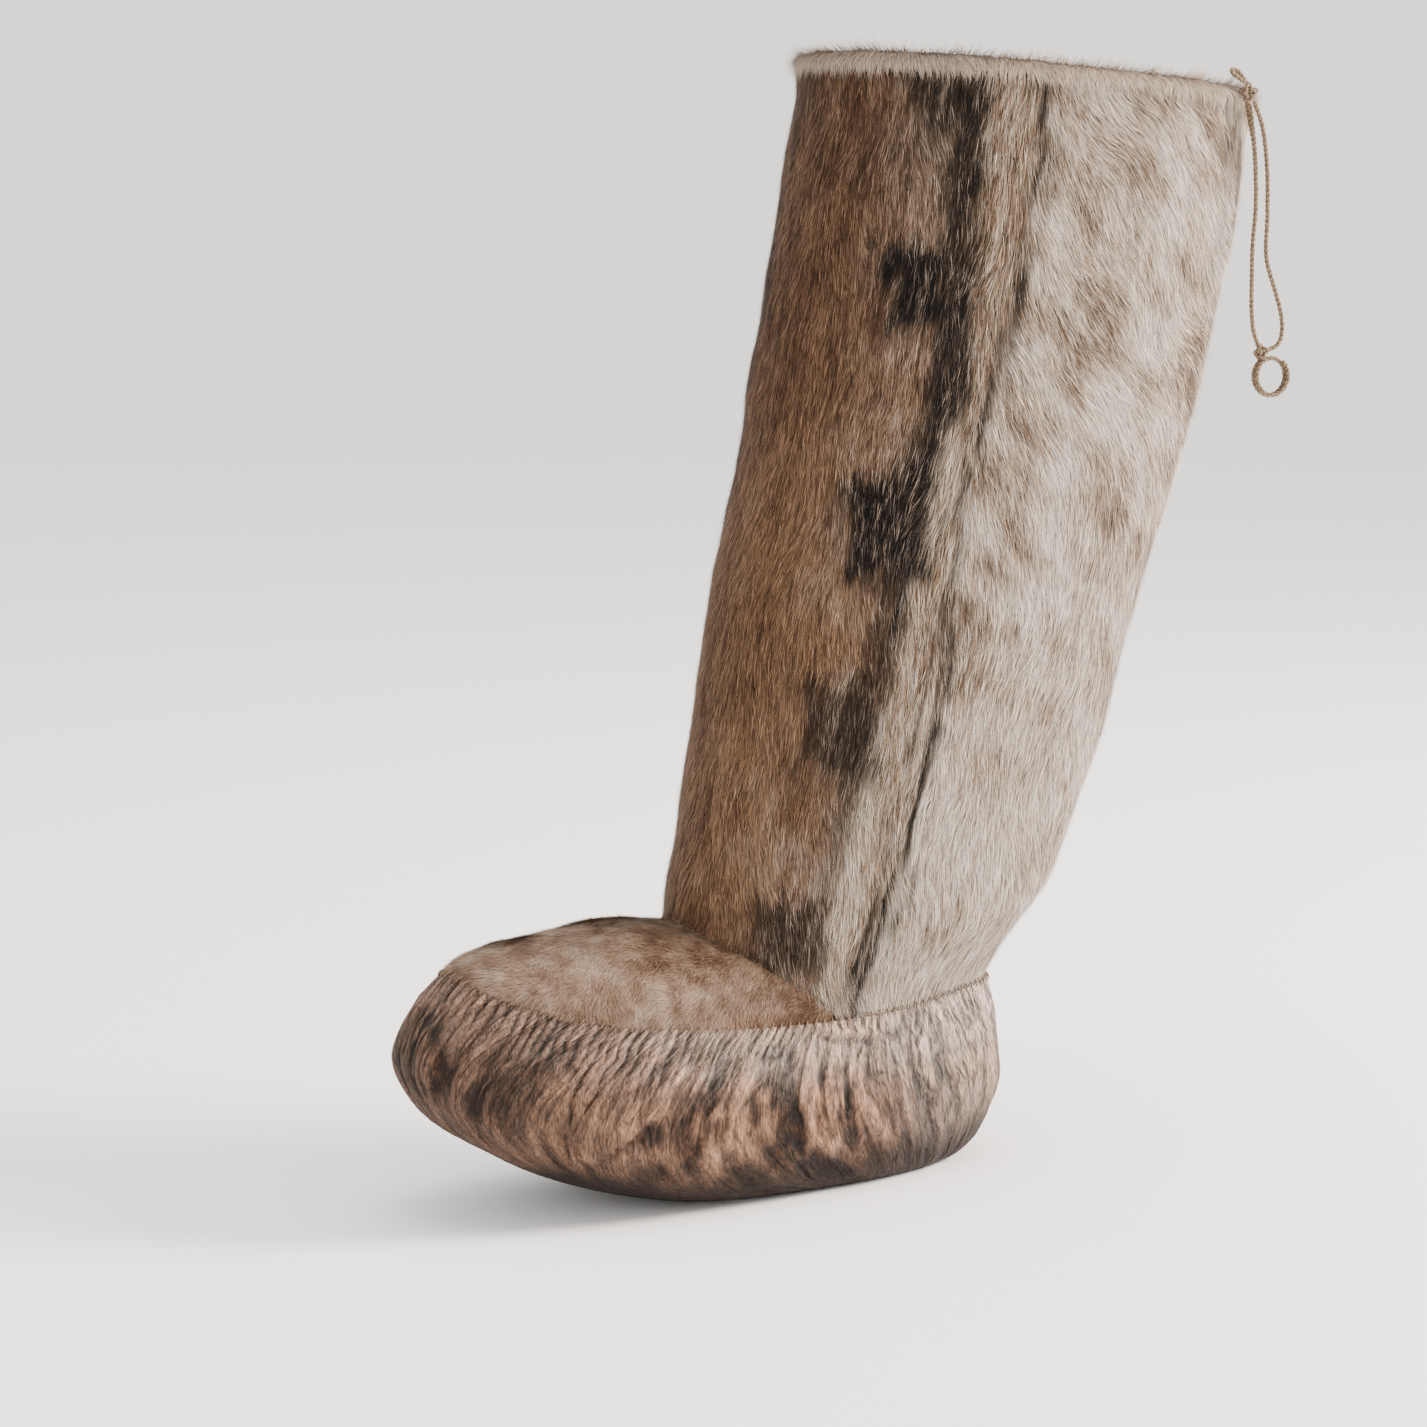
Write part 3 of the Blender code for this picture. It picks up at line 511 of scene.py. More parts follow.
def shaftColumns(frontCount, backCount):
    front, back = seamAngles(frontCount, backCount)
    shares = evenly(hemPoint, -1, 1, frontCount)
    cornerY = boot["hemCorner"] * footLength
    level = seamHeight(cornerY)
    middle, shin = shaftPoint(math.pi / 2, level)[1], shaftPoint(0.0, level)[1]
    corner = math.acos(min((middle - cornerY) / (middle - shin), 1) ** (boot["roundness"] / 2))
    start = corner + boot["turnGap"]
    turns = np.concatenate([np.linspace(-corner, corner, frontCount + 1),
                            np.linspace(start, 2 * math.pi - start, backCount + 1)])
    hem = hemPoint(shares)
    slant = hemSlant(shares)
    above = np.cross(np.gradient(hem, axis=0), slant)
    hem = hem + above / np.linalg.norm(above, axis=1, keepdims=True) * boot["gap"]
    heel = seamPoint(back) + [0, 0, boot["gap"]]
    outer = np.concatenate([hem, heel])
    inner = np.concatenate([hem + slant * boot["wall"] / math.cos(boot["hemSlant"]),
                            heel + inwardFromSeam(back) * boot["wall"]])
    return turns, outer, inner


def shaftGrid(turns, feet, shares):
    shift = feet - shaftPoint(turns, feet[:, 2])
    drop = boot["collarDrop"] * ((1 - np.cos(turns)) / 2) ** boot["collarCurve"]
    height = feet[:, 2] + (boot["height"] - drop - feet[:, 2]) * shares[:, None]
    left = np.maximum(1 - (height - feet[:, 2]) / boot["hemBlend"], 0)
    fade = left * left * (3 - 2 * left)
    return shaftPoint(turns[None, :] + 0 * height, height) + shift * fade[..., None]


def makeShaftSkin():
    # the shaft's skin as one shell: fur side out, skin side in
    turns, feet, innerFeet = shaftColumns(skinSizes["frontColumns"], skinSizes["backColumns"])
    shares = np.linspace(0, 1, skinSizes["rows"]) ** 1.15
    grid = shaftGrid(turns, feet, shares)
    normals = normalsOf(grid, closed=True)
    spot = grid.reshape(-1, 3) / mm
    soft = drift(spot / 30, 41) * 0.9 + drift(spot / 12, 42) * 0.35  # the skin's slight unevenness
    ease = np.sin(np.pi * np.clip(shares, 0.02, 0.98)) ** 0.5
    # fuller at the back, below the collar
    bulge = softStep(spot[:, 2] - skinSizes["bulgeLow"],
                     110) * (1 - softStep(spot[:, 2] - skinSizes["bulgeHigh"], 50))
    bulge = bulge * softStep(spot[:, 1] - skinSizes["bulgeBack"], 50)
    soft = soft * np.repeat(ease, grid.shape[1]) + skinSizes["bulge"] * bulge
    relief = (soft.reshape(grid.shape[:2]) - 0.6) * mm
    belowCollar = np.clip((1 - shares) / 0.03, 0, 1)[:, None]
    push = (relief - skinSizes["inset"] * (shares > 0)[:, None]) * belowCollar
    outside = grid + normals * push[..., None]
    lining = shaftGrid(turns, feet, np.linspace(0, 1, skinSizes["liningRows"]))
    lining = lining - normalsOf(lining, closed=True) * boot["wall"]
    lining[0] = innerFeet
    rings = np.concatenate([outside, lining[::-1]])
    rows, columns = rings.shape[:2]
    faces = np.concatenate([gridFaces(rows, columns, closed=True), closingFaces(rows, columns)])
    piece = meshPiece("shaftSkin", rings.reshape(-1, 3), faces, furSkin)
    faceOut(piece, toVector(grid[0].mean(0)))
    piece.data.materials.append(suede)
    outerFaces = (skinSizes["rows"] - 1) * columns
    inside = np.zeros(len(piece.data.polygons), dtype=np.int32)
    inside[outerFaces:] = 1
    piece.data.polygons.foreach_set("material_index", inside)
    return piece, outside, normals


def closingFaces(rows, columns):
    # joins the last ring of a tube to its first
    c = np.arange(columns)
    last = (rows - 1) * columns
    return np.stack([last + c, last + (c + 1) % columns, (c + 1) % columns, c], -1)


def storeHair(piece, nap, length, cover, tint):
    # what the fur's tree reads, on the first points of a skin; the others, its lining, stay bare
    rest = len(piece.data.vertices) - len(tint)
    storeVector(piece.data, "nap", np.concatenate([nap.reshape(-1, 3), np.zeros((rest, 3))]))
    storeFloat(piece.data, "hairLength", np.concatenate([length.ravel(), np.zeros(rest)]))
    storeFloat(piece.data, "cover", np.concatenate([cover, np.zeros(rest)]))
    storeColour(piece.data, "tint", np.concatenate([tint, np.tile(liningTint, (rest, 1))]))


def dressShaftSkin(piece, outside, normals):
    # nap, hair length and tint on the skin's fur side
    rows, columns = outside.shape[:2]
    spot = outside.reshape(-1, 3)
    down = -np.gradient(outside, axis=0)
    down /= np.linalg.norm(down, axis=2, keepdims=True)
    side = np.cross(normals, down)
    side *= np.where(side[..., 1:2] >= 0, 1, -1)  # towards the heel on both sides
    y, z = spot[:, 1] / mm, spot[:, 2] / mm
    seamY = stripeAt(seamStripe, z)[0]
    wideY = stripeAt(wideStripe, z)[0]
    sweep = softStep(y - seamY, 14) * (0.15 + 0.65 * softStep(z - 290, 60))
    sweep += (1 - softStep(y - wideY, 10)) * 0.06
    sweep += (0.20 + 0.28 * softStep(y - seamY, 14)) * drift(spot / mm / 25,
                                                             21) + 0.13 * drift(spot / mm / 11, 22)
    sweep *= np.clip((z - 60) / 60, 0.25, 1) * np.clip(np.abs(spot[:, 0]) / mm / 25, 0.2, 1)
    sweep = sweep.reshape(rows, columns, 1)
    nap = down * np.cos(sweep) + side * np.sin(sweep)
    travelled = np.linalg.norm(np.diff(outside, axis=0), axis=2)
    room = np.concatenate([np.zeros((1, columns)), np.cumsum(travelled, axis=0)])
    frontHem = outside[0, :, 1] < boot["hemCorner"] * footLength
    overhang = np.where(frontHem, 5.0, 2.5) * mm
    length = furSizes["length"] * (0.82 + 0.18 * softStep(y - wideY, 8)).reshape(rows, columns)
    length = np.minimum(length, room + overhang)
    storeHair(piece, nap, length, np.ones(len(spot)), shaftColour(spot, np.full(len(spot), skinLuck)))


def makeVampSkin():
    front, _ = seamAngles(skinSizes["vampColumns"], 10)
    shares = evenly(hemPoint, -1, 1, skinSizes["vampColumns"])
    toeEdge = seamPoint(front) + [0, 0, boot["gap"]]
    hem = hemPoint(shares)
    hemInner = hem + hemSlant(shares) * boot["wall"] / math.cos(boot["hemSlant"])
    rows = 1 - np.cos(np.linspace(0, math.pi / 2, skinSizes["vampRows"]))
    flat = toeEdge[None, :, :2] + (hem - toeEdge)[None, :, :2] * rows[:, None, None]
    grid = np.concatenate([flat, (vampHeight(flat[..., 0], flat[..., 1]) + boot["gap"])[..., None]], -1)
    grid[0], grid[-1] = toeEdge, hem
    normals = normalsOf(grid, closed=False)
    spot = grid.reshape(-1, 3) / mm
    soft = (0.8 * drift(spot / 16, 43) + 0.4 * drift(spot / 6, 44)).reshape(grid.shape[:2])
    ease = np.sin(np.pi * np.linspace(0.02, 0.98, len(rows)))[:, None]
    outside = grid + normals * ((soft * ease - 0.5) * mm)[..., None]
    inner = grid - normals * boot["wall"]
    inward = inwardFromSeam(front)
    inner[0] = grid[0] + inward * boot["wall"]
    inner[..., 2] = np.maximum(inner[..., 2], grid[0, :, 2])
    for column in (0, -1):
        inner[:, column] = grid[:, column] + inward[column] * boot["wall"]
    inner[-1] = hemInner
    count = grid.shape[1]
    half = grid.shape[0] * count
    top = gridFaces(grid.shape[0], count, closed=False)
    edge = np.concatenate([np.arange(count), np.arange(1, grid.shape[0]) * count + count - 1,
                           half - 2 - np.arange(count - 1), np.arange(grid.shape[0] - 2, 0, -1) * count])
    nextEdge = np.roll(edge, -1)
    walls = np.stack([nextEdge, edge, edge + half, nextEdge + half], -1)
    faces = np.concatenate([top, (top + half)[:, ::-1], walls])
    piece = meshPiece("vampSkin", np.concatenate([outside.reshape(-1, 3), inner.reshape(-1, 3)]), faces,
                      vampSkin)
    faceOut(piece, toVector((0, -0.05, 0.05)))
    piece.data.materials.append(suede)
    index = np.zeros(len(piece.data.polygons), dtype=np.int32)
    index[len(top):2 * len(top)] = 1
    piece.data.polygons.foreach_set("material_index", index)

    forward = -np.gradient(outside, axis=0)
    forward /= np.linalg.norm(forward, axis=2, keepdims=True)
    side = np.cross(normals, forward)
    place = outside.reshape(-1, 3) / mm
    turn = (0.9 * drift(place / 22, 23) + 0.4 * drift(place / 8, 24)).reshape(outside.shape[0], count, 1)
    nap = forward * np.cos(turn) + side * np.sin(turn)
    fromEdge = np.linalg.norm(grid - grid[0], axis=2)
    length = np.minimum(furSizes["vampLength"], fromEdge + 1.5 * mm)
    tint = vampColour(outside.reshape(-1, 3), np.full(half, skinLuck))
    storeHair(piece, nap, length, np.ones(half), tint)
    return piece


# Fur: blades of hair lying along the nap, scattered by Geometry Nodes, then combed and coloured.
furSizes = dict(length=0.0092, vampLength=0.0036, rimLength=0.0080, rimSweep=0.5, curlSize=4, lockSize=3.5,
                lockPull=0.10, colourPlace=0.6, darkSpread=1.0, paleSpread=0.4)
FurLayer = namedtuple("FurLayer", "name skin blade count length width lift scatter bend brightness seed")
Blade = namedtuple("Blade", "points faces roots shades")


def furMaterial():
    # Hair of caribou and seal: a soft gloss along each hair, darker at the root
    made, tree, shader = newMaterial("combedFur")
    tint = addNode(tree, "ShaderNodeAttribute", attribute_name="hairTint")
    tree.links.new(tint.outputs["Color"], shader.inputs["Base Color"])
    shader.inputs["Roughness"].default_value = 0.55
    shader.inputs["Specular IOR Level"].default_value = 0.12
    return made


# a hair's blade, one unit long: a plain spike, or a leaf that can bend; shades run from root to tip
blades = dict(
    spike=Blade([(-0.5, 0, 0), (0.5, 0, 0), (0, 1, 0.02)], [(0, 1, 2)], 2, (0.50, 0.50, 1.18)),
    leaf=Blade([(0, 0, 0), (-0.5, 0.45, 0.05), (0.5, 0.45, 0.05), (0, 1, 0.02)], [(0, 2, 1), (1, 2, 3)], 1,
               (0.45, 0.92, 0.92, 1.2)),
)


def makeBlade(kind):
    mesh = bpy.data.meshes.new(kind + "Blade")
    mesh.from_pydata(blades[kind].points, [], blades[kind].faces)
    mesh.shade_smooth()
    return bpy.data.objects.new(kind + "Blade", mesh)


def makeFurTree():
    tree = bpy.data.node_groups.new("furOnSkin", "GeometryNodeTree")
    sockets = (("Skin", "NodeSocketGeometry"), ("Hairs per square metre", "NodeSocketFloat"),
               ("Length factor", "NodeSocketFloat"), ("Width", "NodeSocketFloat"),
               ("Lift", "NodeSocketFloat"),
               ("Scatter", "NodeSocketFloat"), ("Seed", "NodeSocketInt"), ("Blade", "NodeSocketObject"),
               ("Fur", "NodeSocketMaterial"))
    for name, kind in sockets:
        tree.interface.new_socket(name, in_out="INPUT", socket_type=kind)
    tree.interface.new_socket("Hair", in_out="OUTPUT", socket_type="NodeSocketGeometry")
    given = addNode(tree, "NodeGroupInput").outputs
    named = {}
    for name, kind in (("cover", "FLOAT"), ("hairLength", "FLOAT"), ("nap", "FLOAT_VECTOR")):
        named[name] = addNode(tree, "GeometryNodeInputNamedAttribute", {"Name": name},
                              data_type=kind).outputs["Attribute"]
    density = addNode(tree, "ShaderNodeMath", {0: named["cover"], 1: given["Hairs per square metre"]},
                      operation="MULTIPLY")
    spots = addNode(tree, "GeometryNodeDistributePointsOnFaces",
                    {"Mesh": given["Skin"], "Density": density.outputs[0], "Seed": given["Seed"]})
    lifted = addNode(tree, "ShaderNodeVectorMath", {0: spots.outputs["Normal"], "Scale": given["Lift"]},
                     operation="SCALE")
    chance = addNode(tree, "FunctionNodeRandomValue",
                     {"Min": (-1, -1, -1), "Max": (1, 1, 1), "Seed": given["Seed"]},
                     data_type="FLOAT_VECTOR")
    stray = addNode(tree, "ShaderNodeVectorMath", {0: chance.outputs["Value"], "Scale": given["Scatter"]},
                    operation="SCALE")
    lean = addNode(tree, "ShaderNodeVectorMath", {0: named["nap"], 1: lifted.outputs[0]}, operation="ADD")
    way = addNode(tree, "ShaderNodeVectorMath", {0: lean.outputs[0], 1: stray.outputs[0]}, operation="ADD")
    turned = addNode(tree, "FunctionNodeAxesToRotation",
                     {"Primary Axis": way.outputs[0], "Secondary Axis": spots.outputs["Normal"]},
                     primary_axis="Y", secondary_axis="Z")
    unlike = addNode(tree, "FunctionNodeRandomValue", {2: 0.6, 3: 1.2, "Seed": given["Seed"]},
                     data_type="FLOAT")
    own = addNode(tree, "ShaderNodeMath", {0: named["hairLength"], 1: given["Length factor"]},
                  operation="MULTIPLY")
    length = addNode(tree, "ShaderNodeMath", {0: own.outputs[0], 1: unlike.outputs[1]}, operation="MULTIPLY")
    size = addNode(tree, "ShaderNodeCombineXYZ",
                   {"X": given["Width"], "Y": length.outputs[0], "Z": length.outputs[0]})
    blade = addNode(tree, "GeometryNodeObjectInfo", {"Object": given["Blade"]})
    hairs = addNode(tree, "GeometryNodeInstanceOnPoints",
                    {"Points": spots.outputs["Points"], "Instance": blade.outputs["Geometry"],
                     "Rotation": turned.outputs[0], "Scale": size.outputs[0]})
    real = addNode(tree, "GeometryNodeRealizeInstances", {"Geometry": hairs.outputs[0]})
    painted = addNode(tree, "GeometryNodeSetMaterial",
                      {"Geometry": real.outputs[0], "Material": given["Fur"]})
    addNode(tree, "NodeGroupOutput", {"Hair": painted.outputs[0]})
    return tree


def runTree(name, tree, source, values):
    # the result of a Geometry Nodes tree on a piece, as a plain mesh piece of its own
    worker = bpy.data.objects.new(name + "Work", source.data)
    bpy.context.scene.collection.objects.link(worker)
    modifier = worker.modifiers.new("nodes", "NODES")
    modifier.node_group = tree
    for item in tree.interface.items_tree:
        if item.item_type == "SOCKET" and item.in_out == "INPUT" and item.name in values:
            modifier[item.identifier] = values[item.name]
    graph = bpy.context.evaluated_depsgraph_get()
    mesh = bpy.data.meshes.new_from_object(worker.evaluated_get(graph))
    mesh.name = name
    bpy.data.objects.remove(worker, do_unlink=True)
    piece = bpy.data.objects.new(name, mesh)
    bpy.context.scene.collection.objects.link(piece)
    return piece


def combFur(piece, layer, colourOf):
    # bends the hairs into locks and colours each from the place where it shows
    mesh = piece.data
    blade = blades[layer.blade]
    size = len(blade.points)
    places = np.empty(len(mesh.vertices) * 3, dtype=np.float32)
    mesh.vertices.foreach_get("co", places)
    hair = places.reshape(-1, size, 3).astype(float)
    root = hair[:, :blade.roots].mean(1)
    way = hair[:, -1] - root
    length = np.linalg.norm(way, axis=1)
    across = hair[:, 1] - hair[:, 0] if blade.roots == 2 else hair[:, 2] - hair[:, 1]
    across /= np.maximum(np.linalg.norm(across, axis=1, keepdims=True), 1e-9)
    luck = np.random.default_rng(layer.seed).random((len(hair), 3))
    curl = layer.bend * (drift(root / mm / furSizes["curlSize"], 51) + 0.8 * (luck[:, 0] - 0.5))
    lock = np.stack([drift(root / mm / furSizes["lockSize"], 52 + k) for k in range(3)], 1)
    lock = lock * (furSizes["lockPull"] * length)[:, None]
    hair[:, blade.roots:-1] += (across * (curl * length * 0.25)[:, None] + lock * 0.35)[:, None]
    hair[:, -1] += across * (curl * length)[:, None] + lock
    hair[:, :, 2] = np.maximum(hair[:, :, 2], 0.5 * mm)
    mesh.vertices.foreach_set("co", hair.astype(np.float32).ravel())
    colour = colourOf(root + furSizes["colourPlace"] * way, luck[:, 1])
    # dark hair differs more from its neighbours than pale hair
    paleness = np.clip(colour.mean(1) / 0.45, 0, 0.8)
    spread = furSizes["darkSpread"] + (furSizes["paleSpread"] - furSizes["darkSpread"]) * paleness
    colour = colour * (layer.brightness * (1 + spread * (luck[:, 2] - 0.46)))[:, None]
    colours = np.clip(colour[:, None] * np.array(blade.shades)[None, :, None], 0, 0.95).reshape(-1, 3)
    for attribute in [a.name for a in mesh.attributes]:
        if attribute in ("nap", "hairLength", "cover", "tint"):
            mesh.attributes.remove(mesh.attributes[attribute])
    storeColour(mesh, "hairTint", colours)
    mesh.update()


def growFur(layers, skins):
    tree, fur = makeFurTree(), furMaterial()
    blade = {kind: makeBlade(kind) for kind in blades}
    grown = []
    for layer in layers:
        skin, area, colourOf = skins[layer.skin]
        piece = runTree(layer.name, tree, skin, {
            "Hairs per square metre": layer.count / area, "Length factor": layer.length, "Width": layer.width,
            "Lift": layer.lift, "Scatter": layer.scatter, "Seed": layer.seed, "Blade": blade[layer.blade],
                                                 "Fur": fur})
        combFur(piece, layer, colourOf)
        grown.append(piece)
        print(layer.name, len(piece.data.polygons), "triangles")
    for worker in blade.values():
        bpy.data.objects.remove(worker, do_unlink=True)
    return grown


def furArea(piece):
    cover = np.empty(len(piece.data.vertices), dtype=np.float32)
    piece.data.attributes["cover"].data.foreach_get("value", cover)
    return sum(p.area for p in piece.data.polygons if cover[p.vertices[0]] > 0.5)


# Collar: a rolled strip of bare hide over the shaft's top edge.
collarSizes = dict(columns=420, ringPoints=12, lumps=0.0004, lumpLength=0.009, smallLumpLength=0.0035,
                   tuck=0.0009)


def bareHideMaterial():
    # Scraped, rolled hide: pale beige, dry and slightly waxy where it is worn
    made, tree, shader = newMaterial("scrapedHide")
    place = addNode(tree, "ShaderNodeTexCoord").outputs["Object"]
    cloud = addNode(tree, "ShaderNodeTexNoise", {"Vector": place, "Scale": 1 / (9 * mm), "Detail": 5.0})
    ramp = addNode(tree, "ShaderNodeValToRGB", {"Fac": cloud.outputs["Fac"]})
    ramp.color_ramp.elements[0].position = 0.3
    ramp.color_ramp.elements[0].color = rgba("#7c6552", hideShare)
    ramp.color_ramp.elements[1].position = 0.7
    ramp.color_ramp.elements[1].color = rgba("#b9a591", hideShare)
    tint = addNode(tree, "ShaderNodeAttribute", attribute_name="tint")
    worn = addNode(tree, "ShaderNodeMix", {"Factor": 0.55, "A": ramp.outputs[0], "B": tint.outputs["Color"]},
                   data_type="RGBA")
    grain = addNode(tree, "ShaderNodeTexNoise", {"Vector": place, "Scale": 1 / (0.9 * mm), "Detail": 4.0})
    bump = addNode(tree, "ShaderNodeBump",
                   {"Height": grain.outputs["Fac"], "Strength": 0.5, "Distance": 0.4 * mm})
    tree.links.new(worn.outputs["Result"], shader.inputs["Base Color"])
    tree.links.new(bump.outputs[0], shader.inputs["Normal"])
    shader.inputs["Roughness"].default_value = 0.7
    return made


def collarFrame(count):
    turns = np.linspace(0, 2 * math.pi, count, endpoint=False)
    columns, feet, _ = shaftColumns(skinSizes["frontColumns"], skinSizes["backColumns"])
    grid = shaftGrid(columns, feet, np.linspace(0.9, 1, 4))
    outward = normalsOf(grid, closed=True)[-1]
    outward[:, 2] = 0
    outward /= np.linalg.norm(outward, axis=1, keepdims=True)
    middle = grid[-1] - outward * boot["wall"] / 2
    around = np.mod(columns, 2 * math.pi)
    order = np.argsort(around)
    found = [np.stack([np.interp(turns, around[order], values[order, k],
                                 period=2 * math.pi) for k in range(3)], 1)
             for values in (middle, outward)]
    return turns, *found


def makeCasing():
    turns, middle, outward = collarFrame(collarSizes["columns"])
    arc = np.concatenate([[0], np.cumsum(np.linalg.norm(np.diff(middle, axis=0), axis=1))])
    rings = []
    for k in range(collarSizes["ringPoints"]):
        angle = 2 * math.pi * k / collarSizes["ringPoints"]
        lump = drift(np.stack([arc / collarSizes["lumpLength"], 0 * arc + 3 * math.cos(angle)], 1), 71)
        lump += 0.6 * drift(np.stack([arc / collarSizes["smallLumpLength"], 0 * arc + 2 * math.sin(angle)],
                                     1), 72)
        out = (boot["casingWidth"] / 2 + collarSizes["lumps"] * lump) * math.cos(angle)
        up = boot["casingHeight"] / 2 * (1 + math.sin(angle)) - collarSizes["tuck"] * max(-math.sin(angle), 0)
        up = up + collarSizes["lumps"] * lump * (math.sin(angle) > 0)
        rings.append(middle + outward * out[:, None] + np.stack([0 * up, 0 * up, up + boot["gap"]], 1))
    rings = np.array(rings)
    faces = np.concatenate([gridFaces(len(rings), len(turns), closed=True),
                            closingFaces(len(rings), len(turns))])
    piece = meshPiece("collarCasing", rings.reshape(-1, 3), faces, bareHideMaterial())
    faceOut(piece, toVector(middle[0] + [0, 0, boot["casingHeight"] / 2]))
    # short hair turns over the strip from its top, down its outer side
    nap = np.roll(rings, 1, 0) - np.roll(rings, -1, 0)
    nap /= np.maximum(np.linalg.norm(nap, axis=2, keepdims=True), 1e-9)
    sideways = np.gradient(rings, axis=1)
    sideways /= np.linalg.norm(sideways, axis=2, keepdims=True)
    spot = rings.reshape(-1, 3)
    sweep = (furSizes["rimSweep"] * drift(spot / mm / 12, 25)).reshape(rings.shape[:2] + (1,))
    angles = 2 * math.pi * np.arange(len(rings)) / len(rings)
    outer = (np.cos(angles - 0.5) > -0.2).astype(float)
    length = np.full(len(spot), furSizes["rimLength"])
    tint = shaftColour(spot, np.full(len(spot), skinLuck))
    storeHair(piece, nap * np.cos(sweep) + sideways * np.sin(sweep), length, np.repeat(outer, len(turns)),
              tint)
    return piece


shaftSkin, shaftOutside, shaftNormals = makeShaftSkin()
dressShaftSkin(shaftSkin, shaftOutside, shaftNormals)
placeOnBoot(shaftSkin, "shaft_fur", "shaft")
vampPiece = makeVampSkin()
placeOnBoot(vampPiece, "vamp_fur", "vamp")
casing = makeCasing()
placeOnBoot(casing, "casing_hide", "casing")
print("skins done")

skins = {name: (piece, furArea(piece), colourOf) for name, piece, colourOf in
         (("shaft", shaftSkin, shaftColour), ("vamp", vampPiece, vampColour), ("rim", casing, rimColour))}
furLayers = [
    FurLayer("shaftFurUnder", "shaft", "spike", 170000, 0.95, 0.00038, 0.03, 0.12, 0.14, 0.86, 1),
    FurLayer("shaftFurMiddle", "shaft", "spike", 170000, 1.00, 0.00028, 0.05, 0.15, 0.14, 1.02, 2),
    FurLayer("shaftFurTop", "shaft", "leaf", 86000, 1.08, 0.00021, 0.08, 0.18, 0.16, 1.12, 3),
    FurLayer("vampFur", "vamp", "spike", 120000, 1.00, 0.00023, 0.12, 0.30, 0.25, 1.00, 4),
    FurLayer("rimFur", "rim", "spike", 22000, 1.00, 0.00026, 0.08, 0.25, 0.25, 1.08, 5),
]
furSlots = {"shaft": "shaft_fur", "vamp": "vamp_fur", "rim": "casing_hide"}
for layer, piece in zip(furLayers, growFur(furLayers, skins)):
    placeOnBoot(piece, furSlots[layer.skin])
print("fur done")


# Sole: short-haired hide, gathered into puckers under the seam.
soleSizes = dict(columns=1150, underRows=20, sideRows=36, pitch=4.1, puckerDepth=0.0014, puckerLength=25.0,
                 foldDepth=0.0015, fanMiddle=12.0, fanHeight=115.0, slackAt=20.0, slackReach=24.0,
                 lipRise=0.0004, liningDepth=0.0032)
Crease = namedtuple("Crease", "topY topZ lowY lowZ depth width")
soleCreases = [Crease(*c) for c in (  # outer side, millimetres; a depth below 0 is a ridge
    (-127, 86, -133, 58, 1.5, 2.2), (-82, 86, -113, 57, 1.1, 3.0), (-22, 70, -36, 26, 1.4, 2.6),
    (-12, 68, -27, 22, -1.2, 3.2), (-47, 70, -62, 42, 1.0, 2.4), (-50, 50, -84, 30, -1.5, 3.0),
    (-56, 44, -80, 25, 1.1, 2.6), (10, 66, 1, 20, 1.1, 2.6), (33, 66, 25, 20, -1.0, 3.4),
    (60, 64, 88, 16, 1.1, 2.8), (74, 66, 102, 22, 1.0, 2.6), (24, 71, 52, 65, -2.4, 2.0),
                                    (26, 67, 50, 61, 1.2, 1.6))]


